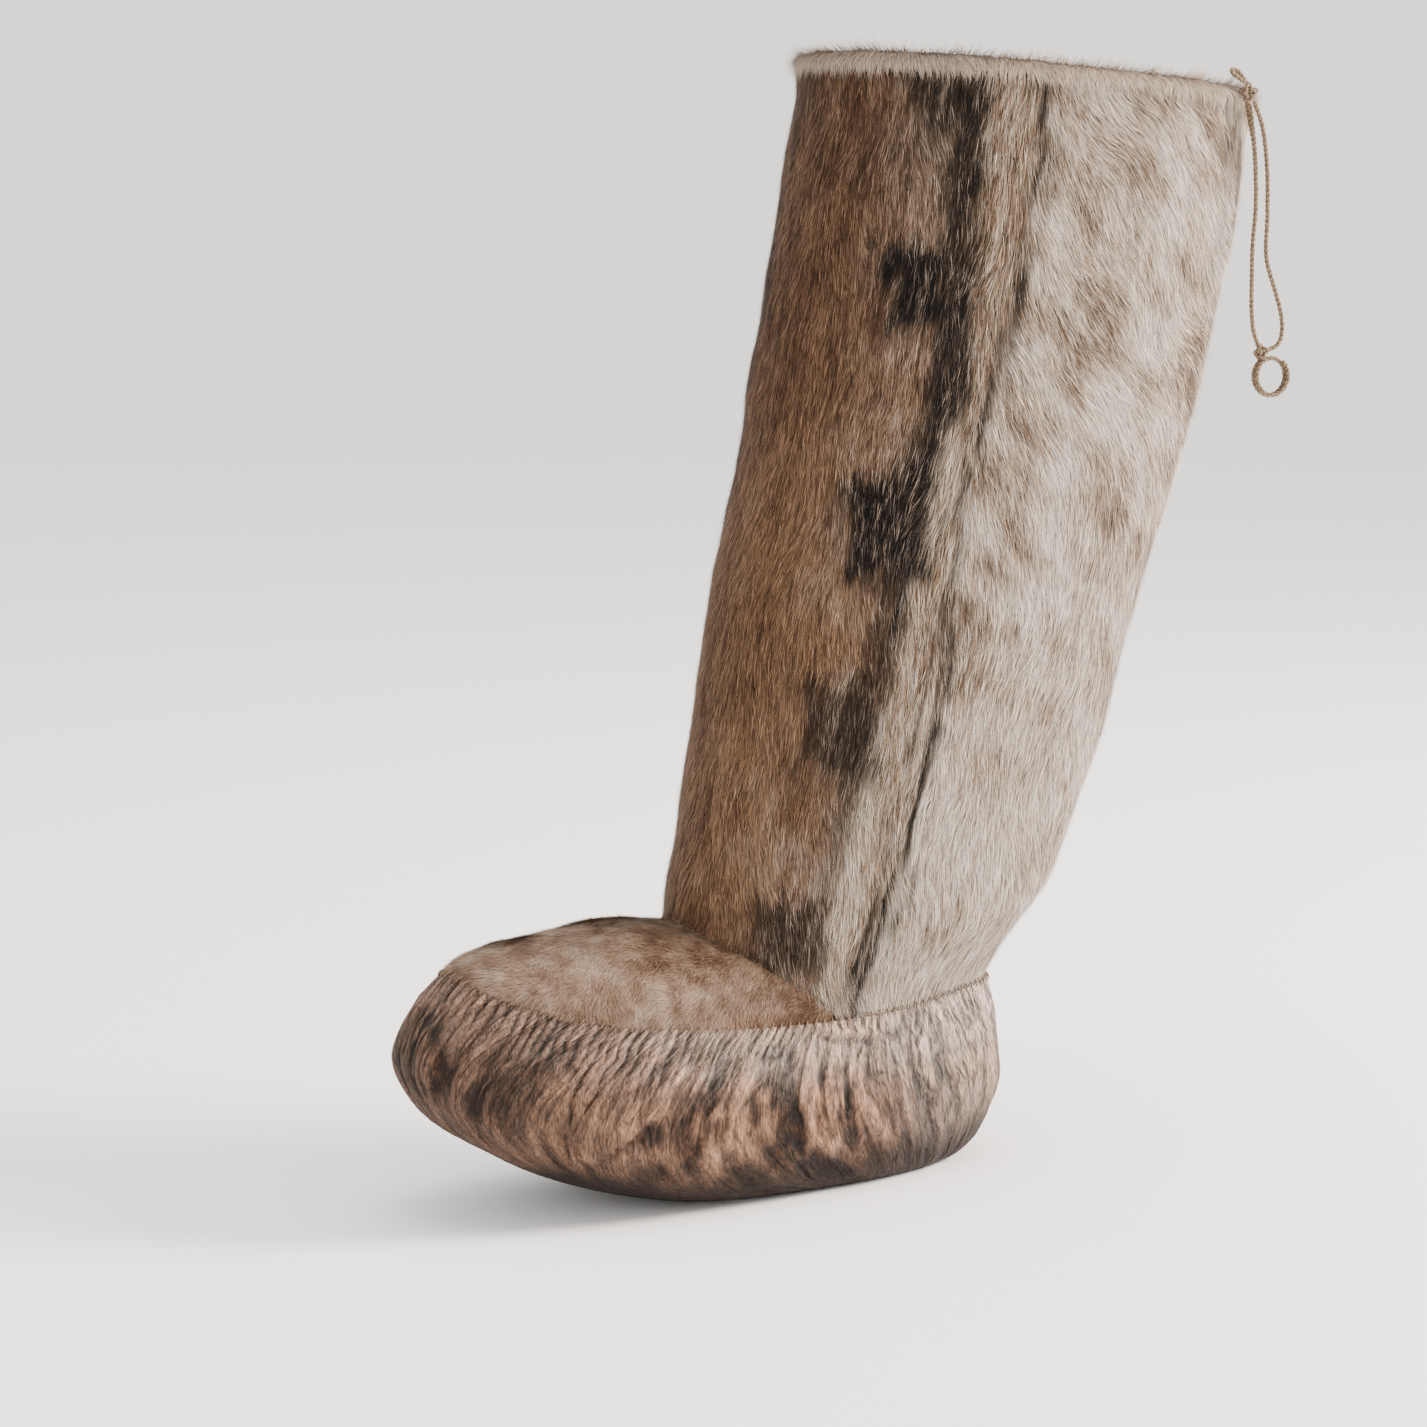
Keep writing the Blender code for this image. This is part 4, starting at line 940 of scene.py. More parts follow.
def hideMaterial():
    # Seal hide with short hair left on: matt; pale and pinkish on the ridges as painted highlight, brown in
    # the folds as painted shade
    made, tree, shader = newMaterial("crimpedSealHide")
    place = addNode(tree, "ShaderNodeTexCoord").outputs["Object"]
    relief = addNode(tree, "ShaderNodeAttribute", attribute_name="relief").outputs["Fac"]
    # where the painted shade at the bottom and the toe lies
    low = addNode(tree, "ShaderNodeAttribute", attribute_name="lowness").outputs["Fac"]
    fold = addNode(tree, "ShaderNodeAttribute", attribute_name="foldPlace").outputs["Vector"]

    def wrinkles(width, length, sharpness, seed):
        # thin troughs that run down the fan of folds, in millimetres
        drawn = addNode(tree, "ShaderNodeMapping",
                        {"Vector": fold, "Location": (seed, 0, 0), "Scale": (1 / width, 1 / length, 1 / 40)})
        wave = addNode(tree, "ShaderNodeTexNoise",
                       {"Vector": drawn.outputs[0], "Scale": 1.0, "Detail": 2.0, "Roughness": 0.45,
                        "Distortion": 0.5})
        level = addNode(tree, "ShaderNodeMath", {0: wave.outputs["Fac"], 1: 0.5}, operation="SUBTRACT")
        away = addNode(tree, "ShaderNodeMath", {0: level.outputs[0]}, operation="ABSOLUTE")
        return addNode(tree, "ShaderNodeMapRange",
                       {"Value": away.outputs[0], "From Min": 0.0, "From Max": sharpness,
                        "To Min": 0.0, "To Max": 1.0},
                       interpolation_type="SMOOTHSTEP").outputs[0]

    mottle = addNode(tree, "ShaderNodeTexNoise",
                     {"Vector": place, "Scale": 1 / (10 * mm), "Detail": 7.0, "Roughness": 0.68})
    ground = addNode(tree, "ShaderNodeValToRGB", {"Fac": mottle.outputs["Fac"]})
    ground.color_ramp.elements[0].position = 0.34
    ground.color_ramp.elements[0].color = rgba("#20130c", hideShare)
    ground.color_ramp.elements[1].position = 0.66
    ground.color_ramp.elements[1].color = rgba("#b68361", hideShare)
    middle = ground.color_ramp.elements.new(0.5)
    middle.color = rgba("#5f3b26", hideShare)
    # painted highlight on the pucker and fold ridges and painted shade in their valleys, from the relief
    raised = addNode(tree, "ShaderNodeMapRange",
                     {"Value": relief, "From Min": -0.7, "From Max": 0.6, "To Min": 0.0, "To Max": 1.0})
    shadedValleysLitRidges = addNode(tree, "ShaderNodeMix",
                      {"Factor": raised.outputs[0], "A": rgba("#0d0704", hideShare),
                       "B": rgba("#e2b191", hideShare)}, data_type="RGBA")
    blended = addNode(tree, "ShaderNodeMix",
                      {"Factor": 0.6, "A": ground.outputs[0], "B": shadedValleysLitRidges.outputs["Result"]},
                      data_type="RGBA")
    # lighter near the seam, and painted light toward the heel, on the side the key light comes from; less at
    # the toe
    paleness = addNode(tree, "ShaderNodeAttribute", attribute_name="paleness").outputs["Fac"]
    paleSeamLitHeelMix = addNode(tree, "ShaderNodeMix",
                     {"Factor": paleness, "A": blended.outputs["Result"], "B": rgba("#cfc0b6", hideShare)},
                     data_type="RGBA")
    # painted shade: the sole darkens to near black near the floor and at the toe, standing in for shade there
    paintedShadeMix = addNode(tree, "ShaderNodeMix",
                    {"Factor": low, "A": paleSeamLitHeelMix.outputs["Result"], "B": rgba("#190b05", hideShare)},
                    data_type="RGBA")
    wide, thin = wrinkles(7.0, 34.0, 0.10, 0.0), wrinkles(2.8, 12.0, 0.11, 31.0)
    both = addNode(tree, "ShaderNodeMath", {0: thin, 1: 0.55, 2: wide}, operation="MULTIPLY_ADD")
    # painted shade: the wrinkle troughs are darkened to about a third, fading out further down the folds
    paintedTroughShade = addNode(tree, "ShaderNodeMapRange",
                     {"Value": both.outputs[0], "From Min": 0.2, "From Max": 1.5, "To Min": 0.36,
                      "To Max": 1.12})
    down = addNode(tree, "ShaderNodeSeparateXYZ", {"Vector": fold}).outputs["Y"]
    fading = addNode(tree, "ShaderNodeMapRange",
                     {"Value": down, "From Min": 38.0, "From Max": 75.0, "To Min": 1.0, "To Max": 0.2})
    eased = addNode(tree, "ShaderNodeMix", {"Factor": fading.outputs[0], "A": 0.92, "B": paintedTroughShade.outputs[0]},
                    data_type="FLOAT")
    # brighter near the seam and darker further down the folds
    pale = addNode(tree, "ShaderNodeMapRange",
                   {"Value": down, "From Min": 6.0, "From Max": 34.0, "To Min": 1.2, "To Max": 0.86})
    # the painted shade of the troughs, times the brightening near the seam
    lit = addNode(tree, "ShaderNodeMath", {0: eased.outputs["Result"], 1: pale.outputs[0]},
                  operation="MULTIPLY")
    stretched = addNode(tree, "ShaderNodeMapping", {"Vector": place, "Scale": (1, 1, 0.22)})
    hairs = addNode(tree, "ShaderNodeTexNoise",
                    {"Vector": stretched.outputs[0], "Scale": 1 / (0.7 * mm), "Detail": 3.0})
    streak = addNode(tree, "ShaderNodeMapRange",
                     {"Value": hairs.outputs["Fac"], "From Min": 0.3, "From Max": 0.7, "To Min": 0.46,
                      "To Max": 1.54})
    creased = addNode(tree, "ShaderNodeVectorMath", {0: paintedShadeMix.outputs["Result"], "Scale": lit.outputs[0]},
                      operation="SCALE")
    shade = addNode(tree, "ShaderNodeVectorMath", {0: creased.outputs[0], "Scale": streak.outputs[0]},
                    operation="SCALE")
    pores = addNode(tree, "ShaderNodeTexNoise", {"Vector": place, "Scale": 1 / (1.6 * mm), "Detail": 4.0})
    height = addNode(tree, "ShaderNodeMath", {0: hairs.outputs["Fac"], 1: pores.outputs["Fac"]},
                     operation="ADD")
    nap = addNode(tree, "ShaderNodeBump",
                  {"Height": height.outputs[0], "Strength": 0.5, "Distance": 0.5 * mm})
    bump = addNode(tree, "ShaderNodeBump",
                   {"Height": both.outputs[0], "Strength": 0.9, "Distance": 1.0 * mm,
                    "Normal": nap.outputs[0]})
    tree.links.new(shade.outputs[0], shader.inputs["Base Color"])
    tree.links.new(bump.outputs[0], shader.inputs["Normal"])
    shader.inputs["Roughness"].default_value = 0.62
    shader.inputs["Specular IOR Level"].default_value = 0.18
    return made


def creaseRelief(spot, creases):
    # troughs and ridges placed one by one on the outer side, and mirrored a little further back
    relief = np.zeros(len(spot))
    for crease in creases:
        for sideSign, shiftY in ((1, 0), (-1, 9)):
            start = np.array([crease.topY + shiftY, crease.topZ])
            way = np.array([crease.lowY - crease.topY, crease.lowZ - crease.topZ])
            reach = np.linalg.norm(way)
            way = way / reach
            off = spot[:, 1:3] - start
            along = off @ way
            wobble = 1.4 * drift(np.stack([along / 9, 0 * along + crease.topY], 1), 61)
            across = off @ [-way[1], way[0]] + wobble
            ends = softStep(along, 6) * softStep(reach - along, 10)
            here = np.exp(-(across / crease.width) ** 2) * ends * (spot[:, 0] * sideSign > 0)
            relief -= crease.depth * here
    return relief


def soleRelief(grid, fromSeam, alongSeam):
    # puckers and folds in millimetres, and the place of each point along and down the fan of folds
    spot = grid.reshape(-1, 3) / mm
    t, s = fromSeam.ravel() / mm, alongSeam.ravel() / mm
    acrossFoot = spot[:, 0] / 45
    half = np.minimum(s, s.max() - s)  # from the toe's tip, along either side
    middle = half[np.argmin(np.abs(spot[:, 1] - soleSizes["fanMiddle"]) + 10 * t)]
    leans = np.sin(np.pi * half / half.max()) ** 0.7  # folds run straight down at the toe's and heel's tips
    fan = half - (half - middle) * t / (t + soleSizes["fanHeight"]) * leans
    slack = np.exp(-((spot[:, 1] - soleSizes["slackAt"]) / soleSizes["slackReach"]) ** 2)
    toeHalf = softStep(5 - spot[:, 1], 30)
    wavy = 0.34 * drift(np.stack([s / 10, t / 7], 1), 62) + 0.75 * drift(np.stack([s / 19, t / 60], 1), 63)
    phase = s / soleSizes["pitch"] + wavy * np.clip(t / 9, 0.45, 1)
    ridge = np.abs(np.sin(np.pi * phase)) ** 0.7 - 0.62
    number = np.floor(phase)
    reach = soleSizes["puckerLength"] * (1 + 0.5 * drift(np.stack([number * 0.9, 0 * s], 1),
                                                         64)) * (1 + 0.25 * toeHalf)
    strength = np.clip((reach - t) / (0.6 * reach), 0,
                       1) * (0.55 + 0.45 * softStep(t - 2.5, 3)) * (1 - 0.5 * slack)
    strength *= 1 + 0.4 * drift(np.stack([number * 1.3, t / 30], 1), 65)
    puckers = soleSizes["puckerDepth"] / mm * 1.25 * ridge * strength
    foldsBig = 1 - 2 * np.abs(drift(np.stack([fan / 10, t / 45, acrossFoot], 1), 66))
    foldsSmall = 1 - 2 * np.abs(drift(np.stack([fan / 4.6, t / 22, acrossFoot], 1), 67))
    crinkle = 1 - 2 * np.abs(drift(np.stack([fan / 2.3, t / 8, acrossFoot], 1), 70))
    rise = softStep(t - 9, 8) * softStep(80 - t, 26)
    folds = 0.6 * foldsBig + 0.5 * foldsSmall + 0.25 * crinkle - 0.45
    folds = soleSizes["foldDepth"] / mm * folds * rise * (0.75 + 0.5 * slack)
    lumps = 0.8 * drift(spot / 17, 68) * softStep(t - 12, 12)
    placed = creaseRelief(spot, soleCreases)
    return puckers + folds + lumps + placed, puckers + folds + 0.7 * placed, np.stack([fan, t, spot[:, 0]], 1)


def makeSole():
    angles = evenly(seamPoint, 0, 2 * math.pi, soleSizes["columns"])[:-1]
    shares = np.concatenate([np.linspace(0, 1, soleSizes["underRows"], endpoint=False),
                             2 - np.linspace(1, 0, soleSizes["sideRows"]) ** 1.25])
    grid = solePoint(angles[None, :] + 0 * shares[:, None], shares[:, None] + 0 * angles[None, :])
    normals = normalsOf(grid, closed=True)
    steps = np.linalg.norm(np.diff(grid, axis=0), axis=2)
    fromSeam = np.concatenate([np.cumsum(steps[::-1], axis=0)[::-1], np.zeros((1, len(angles)))])
    around = np.linalg.norm(np.roll(grid[-1], -1, 0) - grid[-1], axis=1)
    alongSeam = np.tile(np.concatenate([[0], np.cumsum(around)[:-1]]), (len(shares), 1))
    relief, folds, foldPlace = soleRelief(grid, fromSeam, alongSeam)
    relief, folds = relief.reshape(fromSeam.shape), folds.reshape(fromSeam.shape)
    flatFade = np.clip(shares / 0.5, 0, 1)[:, None]
    outside = grid + normals * (relief * flatFade * mm)[..., None]
    outside[..., 2] = np.maximum(outside[..., 2], 0)

    middle = np.array([0, tread.widest * footLength, 0])
    under = [middle + (outside[0] - middle) * share for share in (0.1, 0.4, 0.7)]
    inward = inwardFromSeam(angles)
    lip = outside[-1] + inward * boot["soleWall"] * 0.5 + [0, 0, soleSizes["lipRise"]]
    rim = grid[-1] + inward * boot["soleWall"]
    liningRows = [46, 40, 32, 24, 16, 8, 0]  # rows of the side that the lining follows, from the top down
    cavity = grid[liningRows] - normals[liningRows] * soleSizes["liningDepth"]
    cavity[..., 2] = np.maximum(cavity[..., 2], boot["soleWall"])
    floorIn = [middle + (cavity[-1] - middle) * share for share in (0.7, 0.4, 0.1)]
    rings = np.concatenate([under, outside, [lip, rim], cavity, floorIn])
    rows, columns = rings.shape[:2]
    faces = list(gridFaces(rows, columns, closed=True))
    last = (rows - 1) * columns
    faces += [tuple(range(columns))[::-1], tuple(last + i for i in range(columns))]
    piece = meshPiece("crimpedSole", rings.reshape(-1, 3), faces, hideMaterial())
    faceOut(piece, toVector((0, 0, 0.02)))
    # the height of puckers and folds, which the material turns into painted shade in the valleys and painted
    # highlight on the ridges
    reliefAll = np.zeros((rows, columns))
    reliefAll[len(under):len(under) + len(shares)] = folds
    storeFloat(piece.data, "relief", reliefAll)
    foldAll = np.zeros((rows, columns, 3))
    foldAll[:len(under)] = foldPlace.reshape(grid.shape)[:1]
    foldAll[len(under):len(under) + len(shares)] = foldPlace.reshape(grid.shape)
    storeVector(piece.data, "foldPlace", foldAll)
    # painted shade near the floor, and at the toe, which faces away from the key light
    heights = rings[..., 2] / mm + 5 * drift(rings.reshape(-1, 3) / mm / 14, 69).reshape(rows, columns)
    toeward = softStep(-62 - rings[..., 1] / mm, 50)
    # lighter near the seam, and painted light toward the heel where the key light falls; held back at the
    # toe, which is in painted shade
    paleSeamLitHeel = 0.42 * softStep(24 - foldAll[..., 1], 14) + 0.42 * softStep(rings[..., 1] / mm - 66, 40)
    storeFloat(piece.data, "paleness", paleSeamLitHeel * (1 - 0.6 * toeward))
    storeFloat(piece.data, "lowness", np.clip(0.9 * softStep(20 - heights, 14) + 0.5 * toeward, 0, 0.93))
    return piece


placeOnBoot(makeSole(), "sole_hide", "sole")
print("sole done")


# Seam: overcast stitches of sinew, one in each pucker, laid along the seam by Geometry Nodes.
stitchSizes = dict(spacing=0.0041, length=0.0030, thickness=0.0006, outward=0.0006, upward=0.0002, lean=0.55)


def sinewMaterial():
    # Twisted sinew thread: a brownish cream, slightly waxy
    made, tree, shader = newMaterial("sinewThread")
    shader.inputs["Base Color"].default_value = rgba("#8d6f56", hideShare)
    shader.inputs["Roughness"].default_value = 0.5
    shader.inputs["Coat Weight"].default_value = 0.1
    return made


def makeStitch():
    # a short arch of thread across the seam, its ends in the hide
    turn = np.linspace(-1, 1, 7)
    line = np.stack([turn * stitchSizes["lean"] * stitchSizes["length"] / 2, turn * stitchSizes["length"] / 2,
                     stitchSizes["thickness"] * (1 - turn ** 2) - stitchSizes["thickness"] * 0.6], 1)
    points, faces = tube(line, stitchSizes["thickness"] / 2, 6)
    mesh = bpy.data.meshes.new("stitch")
    mesh.from_pydata(points.tolist(), [], faces)
    mesh.shade_smooth()
    return bpy.data.objects.new("stitch", mesh)


def makeStitchTree():
    tree = bpy.data.node_groups.new("stitchesAlongSeam", "GeometryNodeTree")
    for name, kind in (("Seam", "NodeSocketGeometry"), ("Spacing", "NodeSocketFloat"),
                       ("Stitch", "NodeSocketObject"),
                       ("Thread", "NodeSocketMaterial")):
        tree.interface.new_socket(name, in_out="INPUT", socket_type=kind)
    tree.interface.new_socket("Stitches", in_out="OUTPUT", socket_type="NodeSocketGeometry")
    given = addNode(tree, "NodeGroupInput").outputs
    outward = addNode(tree, "GeometryNodeInputNamedAttribute", {"Name": "outward"},
                      data_type="FLOAT_VECTOR").outputs["Attribute"]
    path = addNode(tree, "GeometryNodeMeshToCurve", {"Mesh": given["Seam"]})
    spots = addNode(tree, "GeometryNodeCurveToPoints", {"Curve": path.outputs[0], "Length": given["Spacing"]},
                    mode="LENGTH")
    turned = addNode(tree, "FunctionNodeAxesToRotation",
                     {"Primary Axis": outward, "Secondary Axis": spots.outputs["Tangent"]},
                     primary_axis="Z", secondary_axis="X")
    stitch = addNode(tree, "GeometryNodeObjectInfo", {"Object": given["Stitch"]})
    laid = addNode(tree, "GeometryNodeInstanceOnPoints",
                   {"Points": spots.outputs["Points"], "Instance": stitch.outputs["Geometry"],
                    "Rotation": turned.outputs[0]})
    real = addNode(tree, "GeometryNodeRealizeInstances", {"Geometry": laid.outputs[0]})
    painted = addNode(tree, "GeometryNodeSetMaterial",
                      {"Geometry": real.outputs[0], "Material": given["Thread"]})
    addNode(tree, "NodeGroupOutput", {"Stitches": painted.outputs[0]})
    return tree


def makeSeamStitches():
    angles = evenly(seamPoint, 0, 2 * math.pi, 700)
    outward = -inwardFromSeam(angles) * 0.8 + np.array([0, 0, 0.6])
    line = seamPoint(angles) + outward * stitchSizes["outward"] + [0, 0, stitchSizes["upward"]]
    mesh = bpy.data.meshes.new("seamPath")
    mesh.from_pydata(line.tolist(), [(i, i + 1) for i in range(len(line) - 1)], [])
    storeVector(mesh, "outward", outward)
    path, stitch = bpy.data.objects.new("seamPath", mesh), makeStitch()
    piece = runTree("seamStitches", makeStitchTree(), path,
                    {"Spacing": stitchSizes["spacing"], "Stitch": stitch, "Thread": sinewMaterial()})
    for worker in (path, stitch):
        bpy.data.objects.remove(worker, do_unlink=True)
    return piece


placeOnBoot(makeSeamStitches(), "sole_hide")
print("stitches done")


# Insole: the solid as it is, in felt.
def feltMaterial():
    # Pressed wool felt: matt and fibrous
    made, tree, shader = newMaterial("woolFelt")
    place = addNode(tree, "ShaderNodeTexCoord").outputs["Object"]
    fibres = addNode(tree, "ShaderNodeTexNoise", {"Vector": place, "Scale": 1 / (1.2 * mm), "Detail": 5.0})
    ramp = addNode(tree, "ShaderNodeValToRGB", {"Fac": fibres.outputs["Fac"]})
    ramp.color_ramp.elements[0].color = rgba("#6f6352", hideShare)
    ramp.color_ramp.elements[1].color = rgba("#a3957f", hideShare)
    bump = addNode(tree, "ShaderNodeBump",
                   {"Height": fibres.outputs["Fac"], "Strength": 0.6, "Distance": 0.5 * mm})
    tree.links.new(ramp.outputs[0], shader.inputs["Base Color"])
    tree.links.new(bump.outputs[0], shader.inputs["Normal"])
    shader.inputs["Roughness"].default_value = 0.95
    return made


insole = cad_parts["insole"]
insole.data.materials.clear()
insole.data.materials.append(feltMaterial())


# Drawstring: two-ply cord, knotted outside the back of the collar.
cordSizes = dict(diameter=0.0018, plies=2, pitch=0.0042, ringPoints=7, step=0.0005,
                 knotTurn=math.radians(130),
                 knotRise=0.0029, knotSize=0.0085, ringKnotSize=0.006375, ringWidth=0.0155, ringPitch=0.0022,
                 ringStart=116, ringTurn=660, plyOffset=0.24, plyRadius=0.35, tailShare=0.95)
outerRoute = ((1.0, 2.6, -3.8), (1.5, 6.2, -13.0), (1.0, 9.8, -30.8), (0.5, 10.9, -49.7), (0.0, 11.6, -70.0),
              (0.5, 15.7, -81.7), (1.0, 18.8, -92.1), (1.0, 19.4, -98.5), (0.5, 17.8, -104.0),
              (0.0, 12.6, -106.6))
innerRoute = ((-0.5, 1.0, -4.7), (-0.5, 3.0, -14.4), (-1.0, 5.3, -31.0), (-0.5, 5.5, -47.3),
              (0.0, 3.9, -62.5),
              (0.5, 3.4, -78.0), (0.5, 3.6, -89.9), (0.0, 5.2, -98.5), (0.0, 7.8, -104.6))
tailRoute = ((-2.9, 1.4, -3.5), (-4.0, 4.0, -11.0), (-4.2, 6.8, -21.0), (-3.8, 8.0, -33.2))
loopRoute = ((1.5, -2.4, 4.0), (2.2, -6.0, 5.2), (1.2, -8.8, 7.4), (-0.8, -8.0, 9.2), (-1.6, -4.5, 8.6),
             (-1.0, -1.0, 4.7))
ringKnotAt = np.array([0.0, 9.5, -107.0]) * mm
ringAt = np.array([0.0, 14.7, -117.5]) * mm


def cordMaterial():
    # Twisted plant or sinew cord: straw coloured, dry, with loose fibres
    made, tree, shader = newMaterial("twistedStrawCord")
    place = addNode(tree, "ShaderNodeTexCoord").outputs["Object"]
    fibres = addNode(tree, "ShaderNodeTexNoise", {"Vector": place, "Scale": 1 / (0.7 * mm), "Detail": 4.0})
    ramp = addNode(tree, "ShaderNodeValToRGB", {"Fac": fibres.outputs["Fac"]})
    ramp.color_ramp.elements[0].position = 0.3
    ramp.color_ramp.elements[0].color = rgba("#3c2b1e", hideShare)
    ramp.color_ramp.elements[1].position = 0.7
    ramp.color_ramp.elements[1].color = rgba("#bda07e", hideShare)
    bump = addNode(tree, "ShaderNodeBump",
                   {"Height": fibres.outputs["Fac"], "Strength": 0.5, "Distance": 0.2 * mm})
    tree.links.new(ramp.outputs[0], shader.inputs["Base Color"])
    tree.links.new(bump.outputs[0], shader.inputs["Normal"])
    shader.inputs["Roughness"].default_value = 0.8
    return made


def smoothRoute(points, step):
    # a smooth line through a route's points, with a point every step
    points = np.array(points, dtype=float)
    lengths = np.linalg.norm(np.diff(points, axis=0), axis=1)
    along = np.concatenate([[0], np.cumsum(lengths)])
    Place = namedtuple("Place", "at x y z")
    table = [Place(a, *p) for a, p in zip(along, points)]
    at = np.linspace(0, along[-1], max(8, round(along[-1] / step)))
    return np.stack([smoothCurve(table, axis, at) for axis in "xyz"], 1)


def twistedCord(name, line, material, diameter=cordSizes["diameter"]):
    # two plies wound round a line
    tangents = np.gradient(line, axis=0)
    tangents /= np.linalg.norm(tangents, axis=1, keepdims=True)
    along = np.concatenate([[0], np.cumsum(np.linalg.norm(np.diff(line, axis=0), axis=1))])
    helper = np.array([1.0, 0.2, 0.3])
    points, faces = [], []
    firsts = []
    for tangent in tangents:
        helper = helper - tangent * (helper @ tangent)
        helper /= np.linalg.norm(helper)
        firsts.append(helper)
    firsts = np.array(firsts)
    seconds = np.cross(tangents, firsts)
    for ply in range(cordSizes["plies"]):
        turn = 2 * math.pi * (along / cordSizes["pitch"] + ply / cordSizes["plies"])
        sideways = np.cos(turn)[:, None] * firsts + np.sin(turn)[:, None] * seconds
        wound = line + diameter * cordSizes["plyOffset"] * sideways
        start = len(points)
        plyPoints, plyFaces = tube(wound, diameter * cordSizes["plyRadius"], cordSizes["ringPoints"])
        points += list(plyPoints)
        faces += [tuple(start + i for i in f) for f in plyFaces]
    return meshPiece(name, points, faces, material)


def knotLine(centre, size, turns=3, tilt=0.5):
    # a closed line that winds through itself, as a tied knot does
    t = np.linspace(0, 2 * math.pi, 150)
    wide, thick = size * 0.27, size * 0.13
    x = (wide + thick * np.cos(turns * t)) * np.cos(2 * t)
    y = (wide + thick * np.cos(turns * t)) * np.sin(2 * t)
    z = thick * 1.5 * np.sin(turns * t)
    line = np.stack([x, y * math.cos(tilt) - z * math.sin(tilt), y * math.sin(tilt) + z * math.cos(tilt)], 1)
    return centre + line[:, [2, 0, 1]]


def joined(name, pieces):
    # several mesh pieces as one
    points, faces = [], []
    for piece in pieces:
        start = len(points)
        points += [tuple(v.co) for v in piece.data.vertices]
        faces += [tuple(start + i for i in p.vertices) for p in piece.data.polygons]
    material = pieces[0].data.materials[0]
    for piece in pieces:
        bpy.data.objects.remove(piece, do_unlink=True)
    return meshPiece(name, points, faces, material)


def makeDrawstring():
    straw = cordMaterial()
    turns, middle, outward = collarFrame(720)
    at = int(np.argmin(np.abs(turns - cordSizes["knotTurn"])))
    reach = boot["casingWidth"] / 2 + boot["gap"] + cordSizes["knotSize"] / 2
    centre = middle[at] + outward[at] * reach + [0, 0, cordSizes["knotRise"]]
    routes = {name: centre + smoothRoute(np.array(route) * mm, cordSizes["step"]) for name, route in
              (("outer", outerRoute), ("inner", innerRoute), ("tail", tailRoute), ("loop", loopRoute))}
    knotParts = [twistedCord("knotTurns", knotLine(centre, cordSizes["knotSize"]), straw),
                 twistedCord("knotLoop", routes["loop"], straw)]
    knot = joined("collarKnot", knotParts)
    placeOnBoot(knot, "cord", "drawstring_knot", "upright_loop")
    outer = twistedCord("outerStrand", routes["outer"], straw)
    inner = twistedCord("innerStrand", routes["inner"], straw)
    tail = twistedCord("cordTail", routes["tail"], straw,
                       diameter=cordSizes["diameter"] * cordSizes["tailShare"])
    turn = np.radians(cordSizes["ringStart"] + np.linspace(0, cordSizes["ringTurn"], 200))
    ringLine = np.stack([cordSizes["ringPitch"] * (turn - turn.mean()) / (2 * math.pi),
                         cordSizes["ringWidth"] / 2 * np.cos(turn),
                         cordSizes["ringWidth"] / 2 * np.sin(turn)], 1)
    ring = twistedCord("cordRing", centre + ringAt + ringLine, straw)
    ringKnot = twistedCord("ringKnot", knotLine(centre + ringKnotAt, cordSizes["ringKnotSize"], tilt=0.2),
                           straw)
    for piece, node in ((outer, "strand_outer"), (inner, "strand_inner"), (tail, "cord_tail"),
                        (ring, "cord_ring"),
                        (ringKnot, "ring_knot")):
        placeOnBoot(piece, "cord", node)


makeDrawstring()
print("drawstring done")


# Floor, light and camera, as in the photograph.
studio = dict(floorReach=8.0, floor="#fbfcfe", sky="#faf6f1", skyStrength=1.75)
photoView = dict(place=(1.2716, -0.7202, 0.3888), right=(0.4941, 0.8694, 0.0), pitchDown=math.radians(7.57),
                 lens=91.83, sensor=36.0)


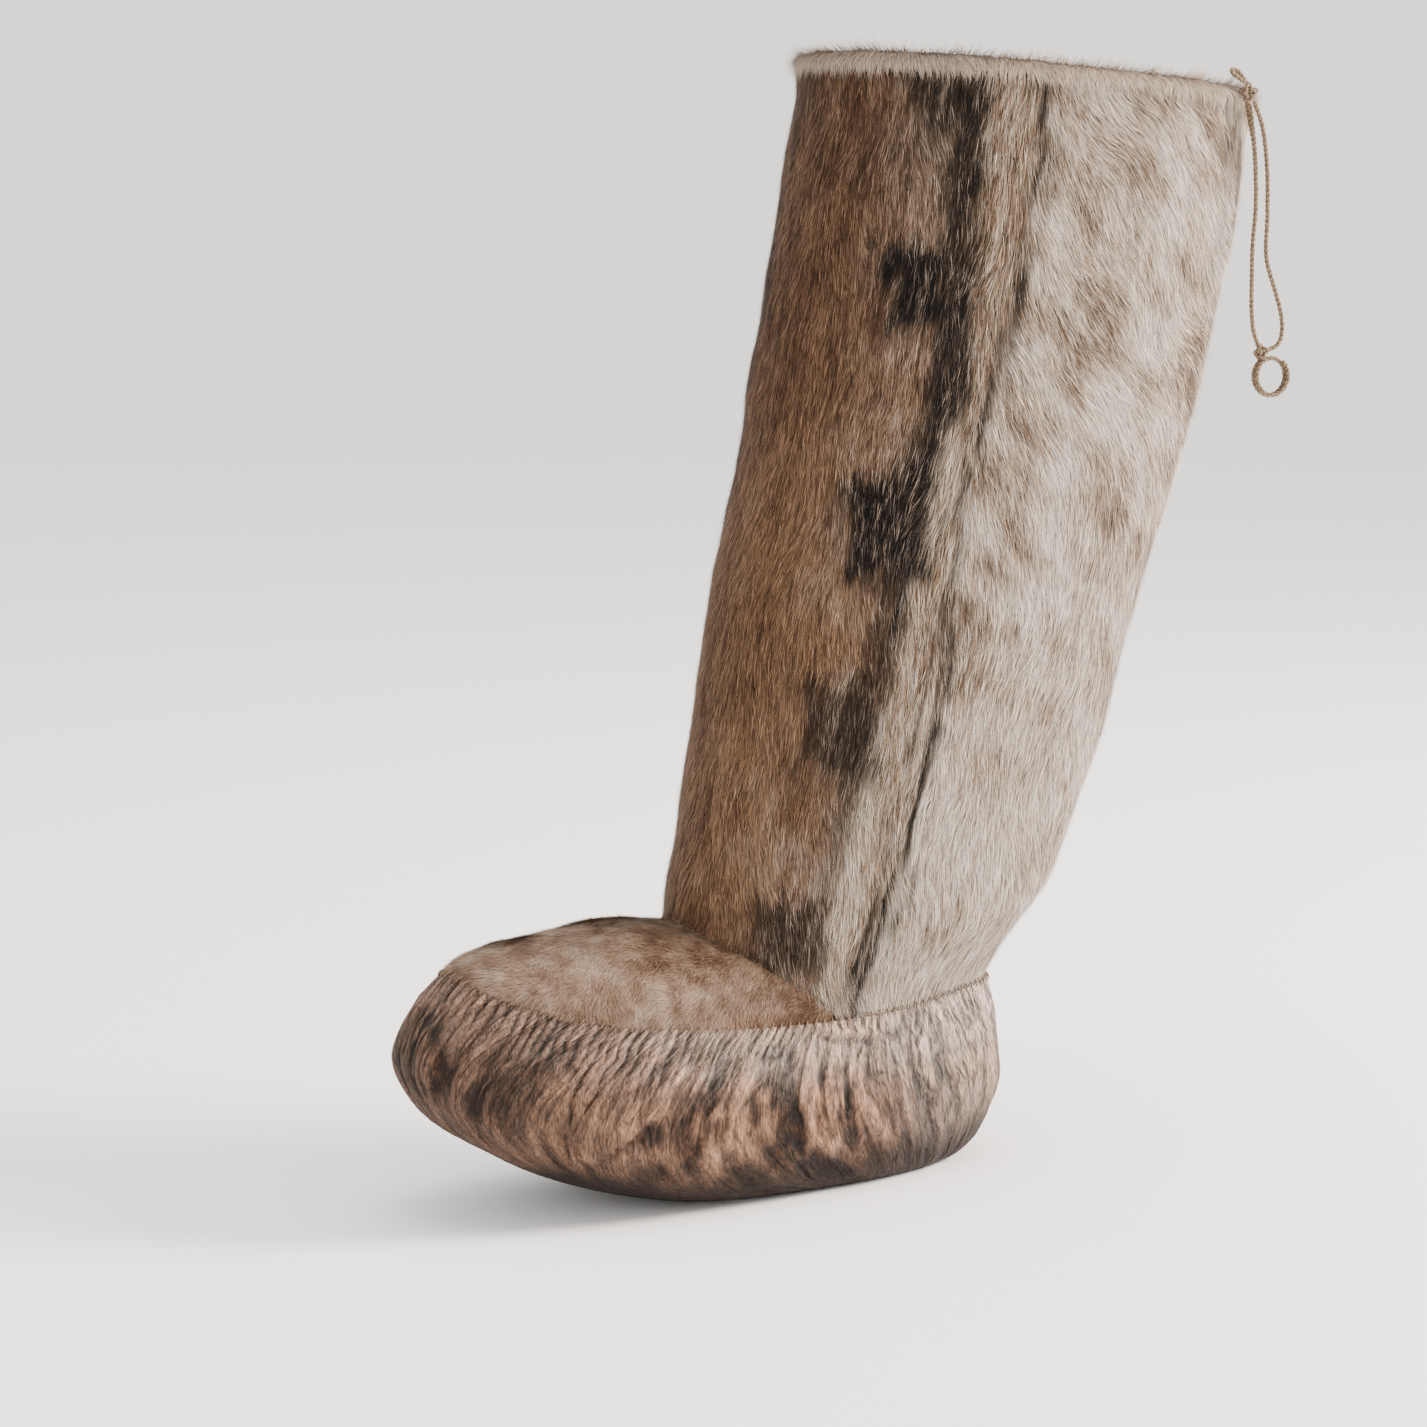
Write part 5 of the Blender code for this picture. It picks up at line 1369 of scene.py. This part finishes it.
def makeStudio():
    floorMaterial, tree, shader = newMaterial("paleFloor")
    shader.inputs["Base Color"].default_value = rgba(studio["floor"])
    shader.inputs["Roughness"].default_value = 1.0
    shader.inputs["Specular IOR Level"].default_value = 0.0
    reach = studio["floorReach"]
    corners = [(-reach, -reach, 0), (reach, -reach, 0), (reach, reach, 0), (-reach, reach, 0)]
    floor = meshPiece("floor", corners, [(0, 1, 2, 3)], floorMaterial, smooth=False)
    world = bpy.data.worlds.new("softWhite")
    world.use_nodes = True
    world.node_tree.nodes["Background"].inputs["Color"].default_value = rgba(studio["sky"])
    world.node_tree.nodes["Background"].inputs["Strength"].default_value = studio["skyStrength"]
    bpy.context.scene.world = world
    Light = namedtuple("Light", "name place aim size power colour")
    for light in (
        Light("keyFromRight", (0.95, 2.0, 1.35), (0, 0.09, 0.22), 1.0, 172, "#fff0e2"),
        Light("fillFromLeft", (1.2, -1.9, 0.9), (0, 0.05, 0.2), 1.6, 5, "#fff8f0"),
        Light("topSoft", (0.2, 0.0, 2.2), (0, 0.1, 0.2), 1.6, 21, "#ffffff"),
    ):
        lamp = bpy.data.lights.new(light.name, "AREA")
        lamp.shape = "DISK"
        lamp.size = light.size
        lamp.energy = light.power
        lamp.color = linear(light.colour)
        holder = bpy.data.objects.new(light.name, lamp)
        way = toVector(np.array(light.aim) - np.array(light.place))
        turned = way.to_track_quat("-Z", "Y").to_matrix().to_4x4()
        holder.matrix_world = Matrix.Translation(light.place) @ turned
        bpy.context.scene.collection.objects.link(holder)


def makeCamera():
    lens = bpy.data.cameras.new("photoCamera")
    lens.lens = photoView["lens"]
    lens.sensor_width = photoView["sensor"]
    lens.clip_start, lens.clip_end = 0.05, 50
    right = toVector(photoView["right"]).normalized()
    level = toVector((-right.y, right.x, 0))
    forward = level * math.cos(photoView["pitchDown"]) - toVector((0, 0,
                                                                   1)) * math.sin(photoView["pitchDown"])
    up = right.cross(forward)
    camera = bpy.data.objects.new("photoCamera", lens)
    turn = Matrix((right, up, -forward)).transposed().to_4x4()
    camera.matrix_world = Matrix.Translation(photoView["place"]) @ turn
    bpy.context.scene.collection.objects.link(camera)
    bpy.context.scene.camera = camera


makeStudio()
makeCamera()
print("studio done")
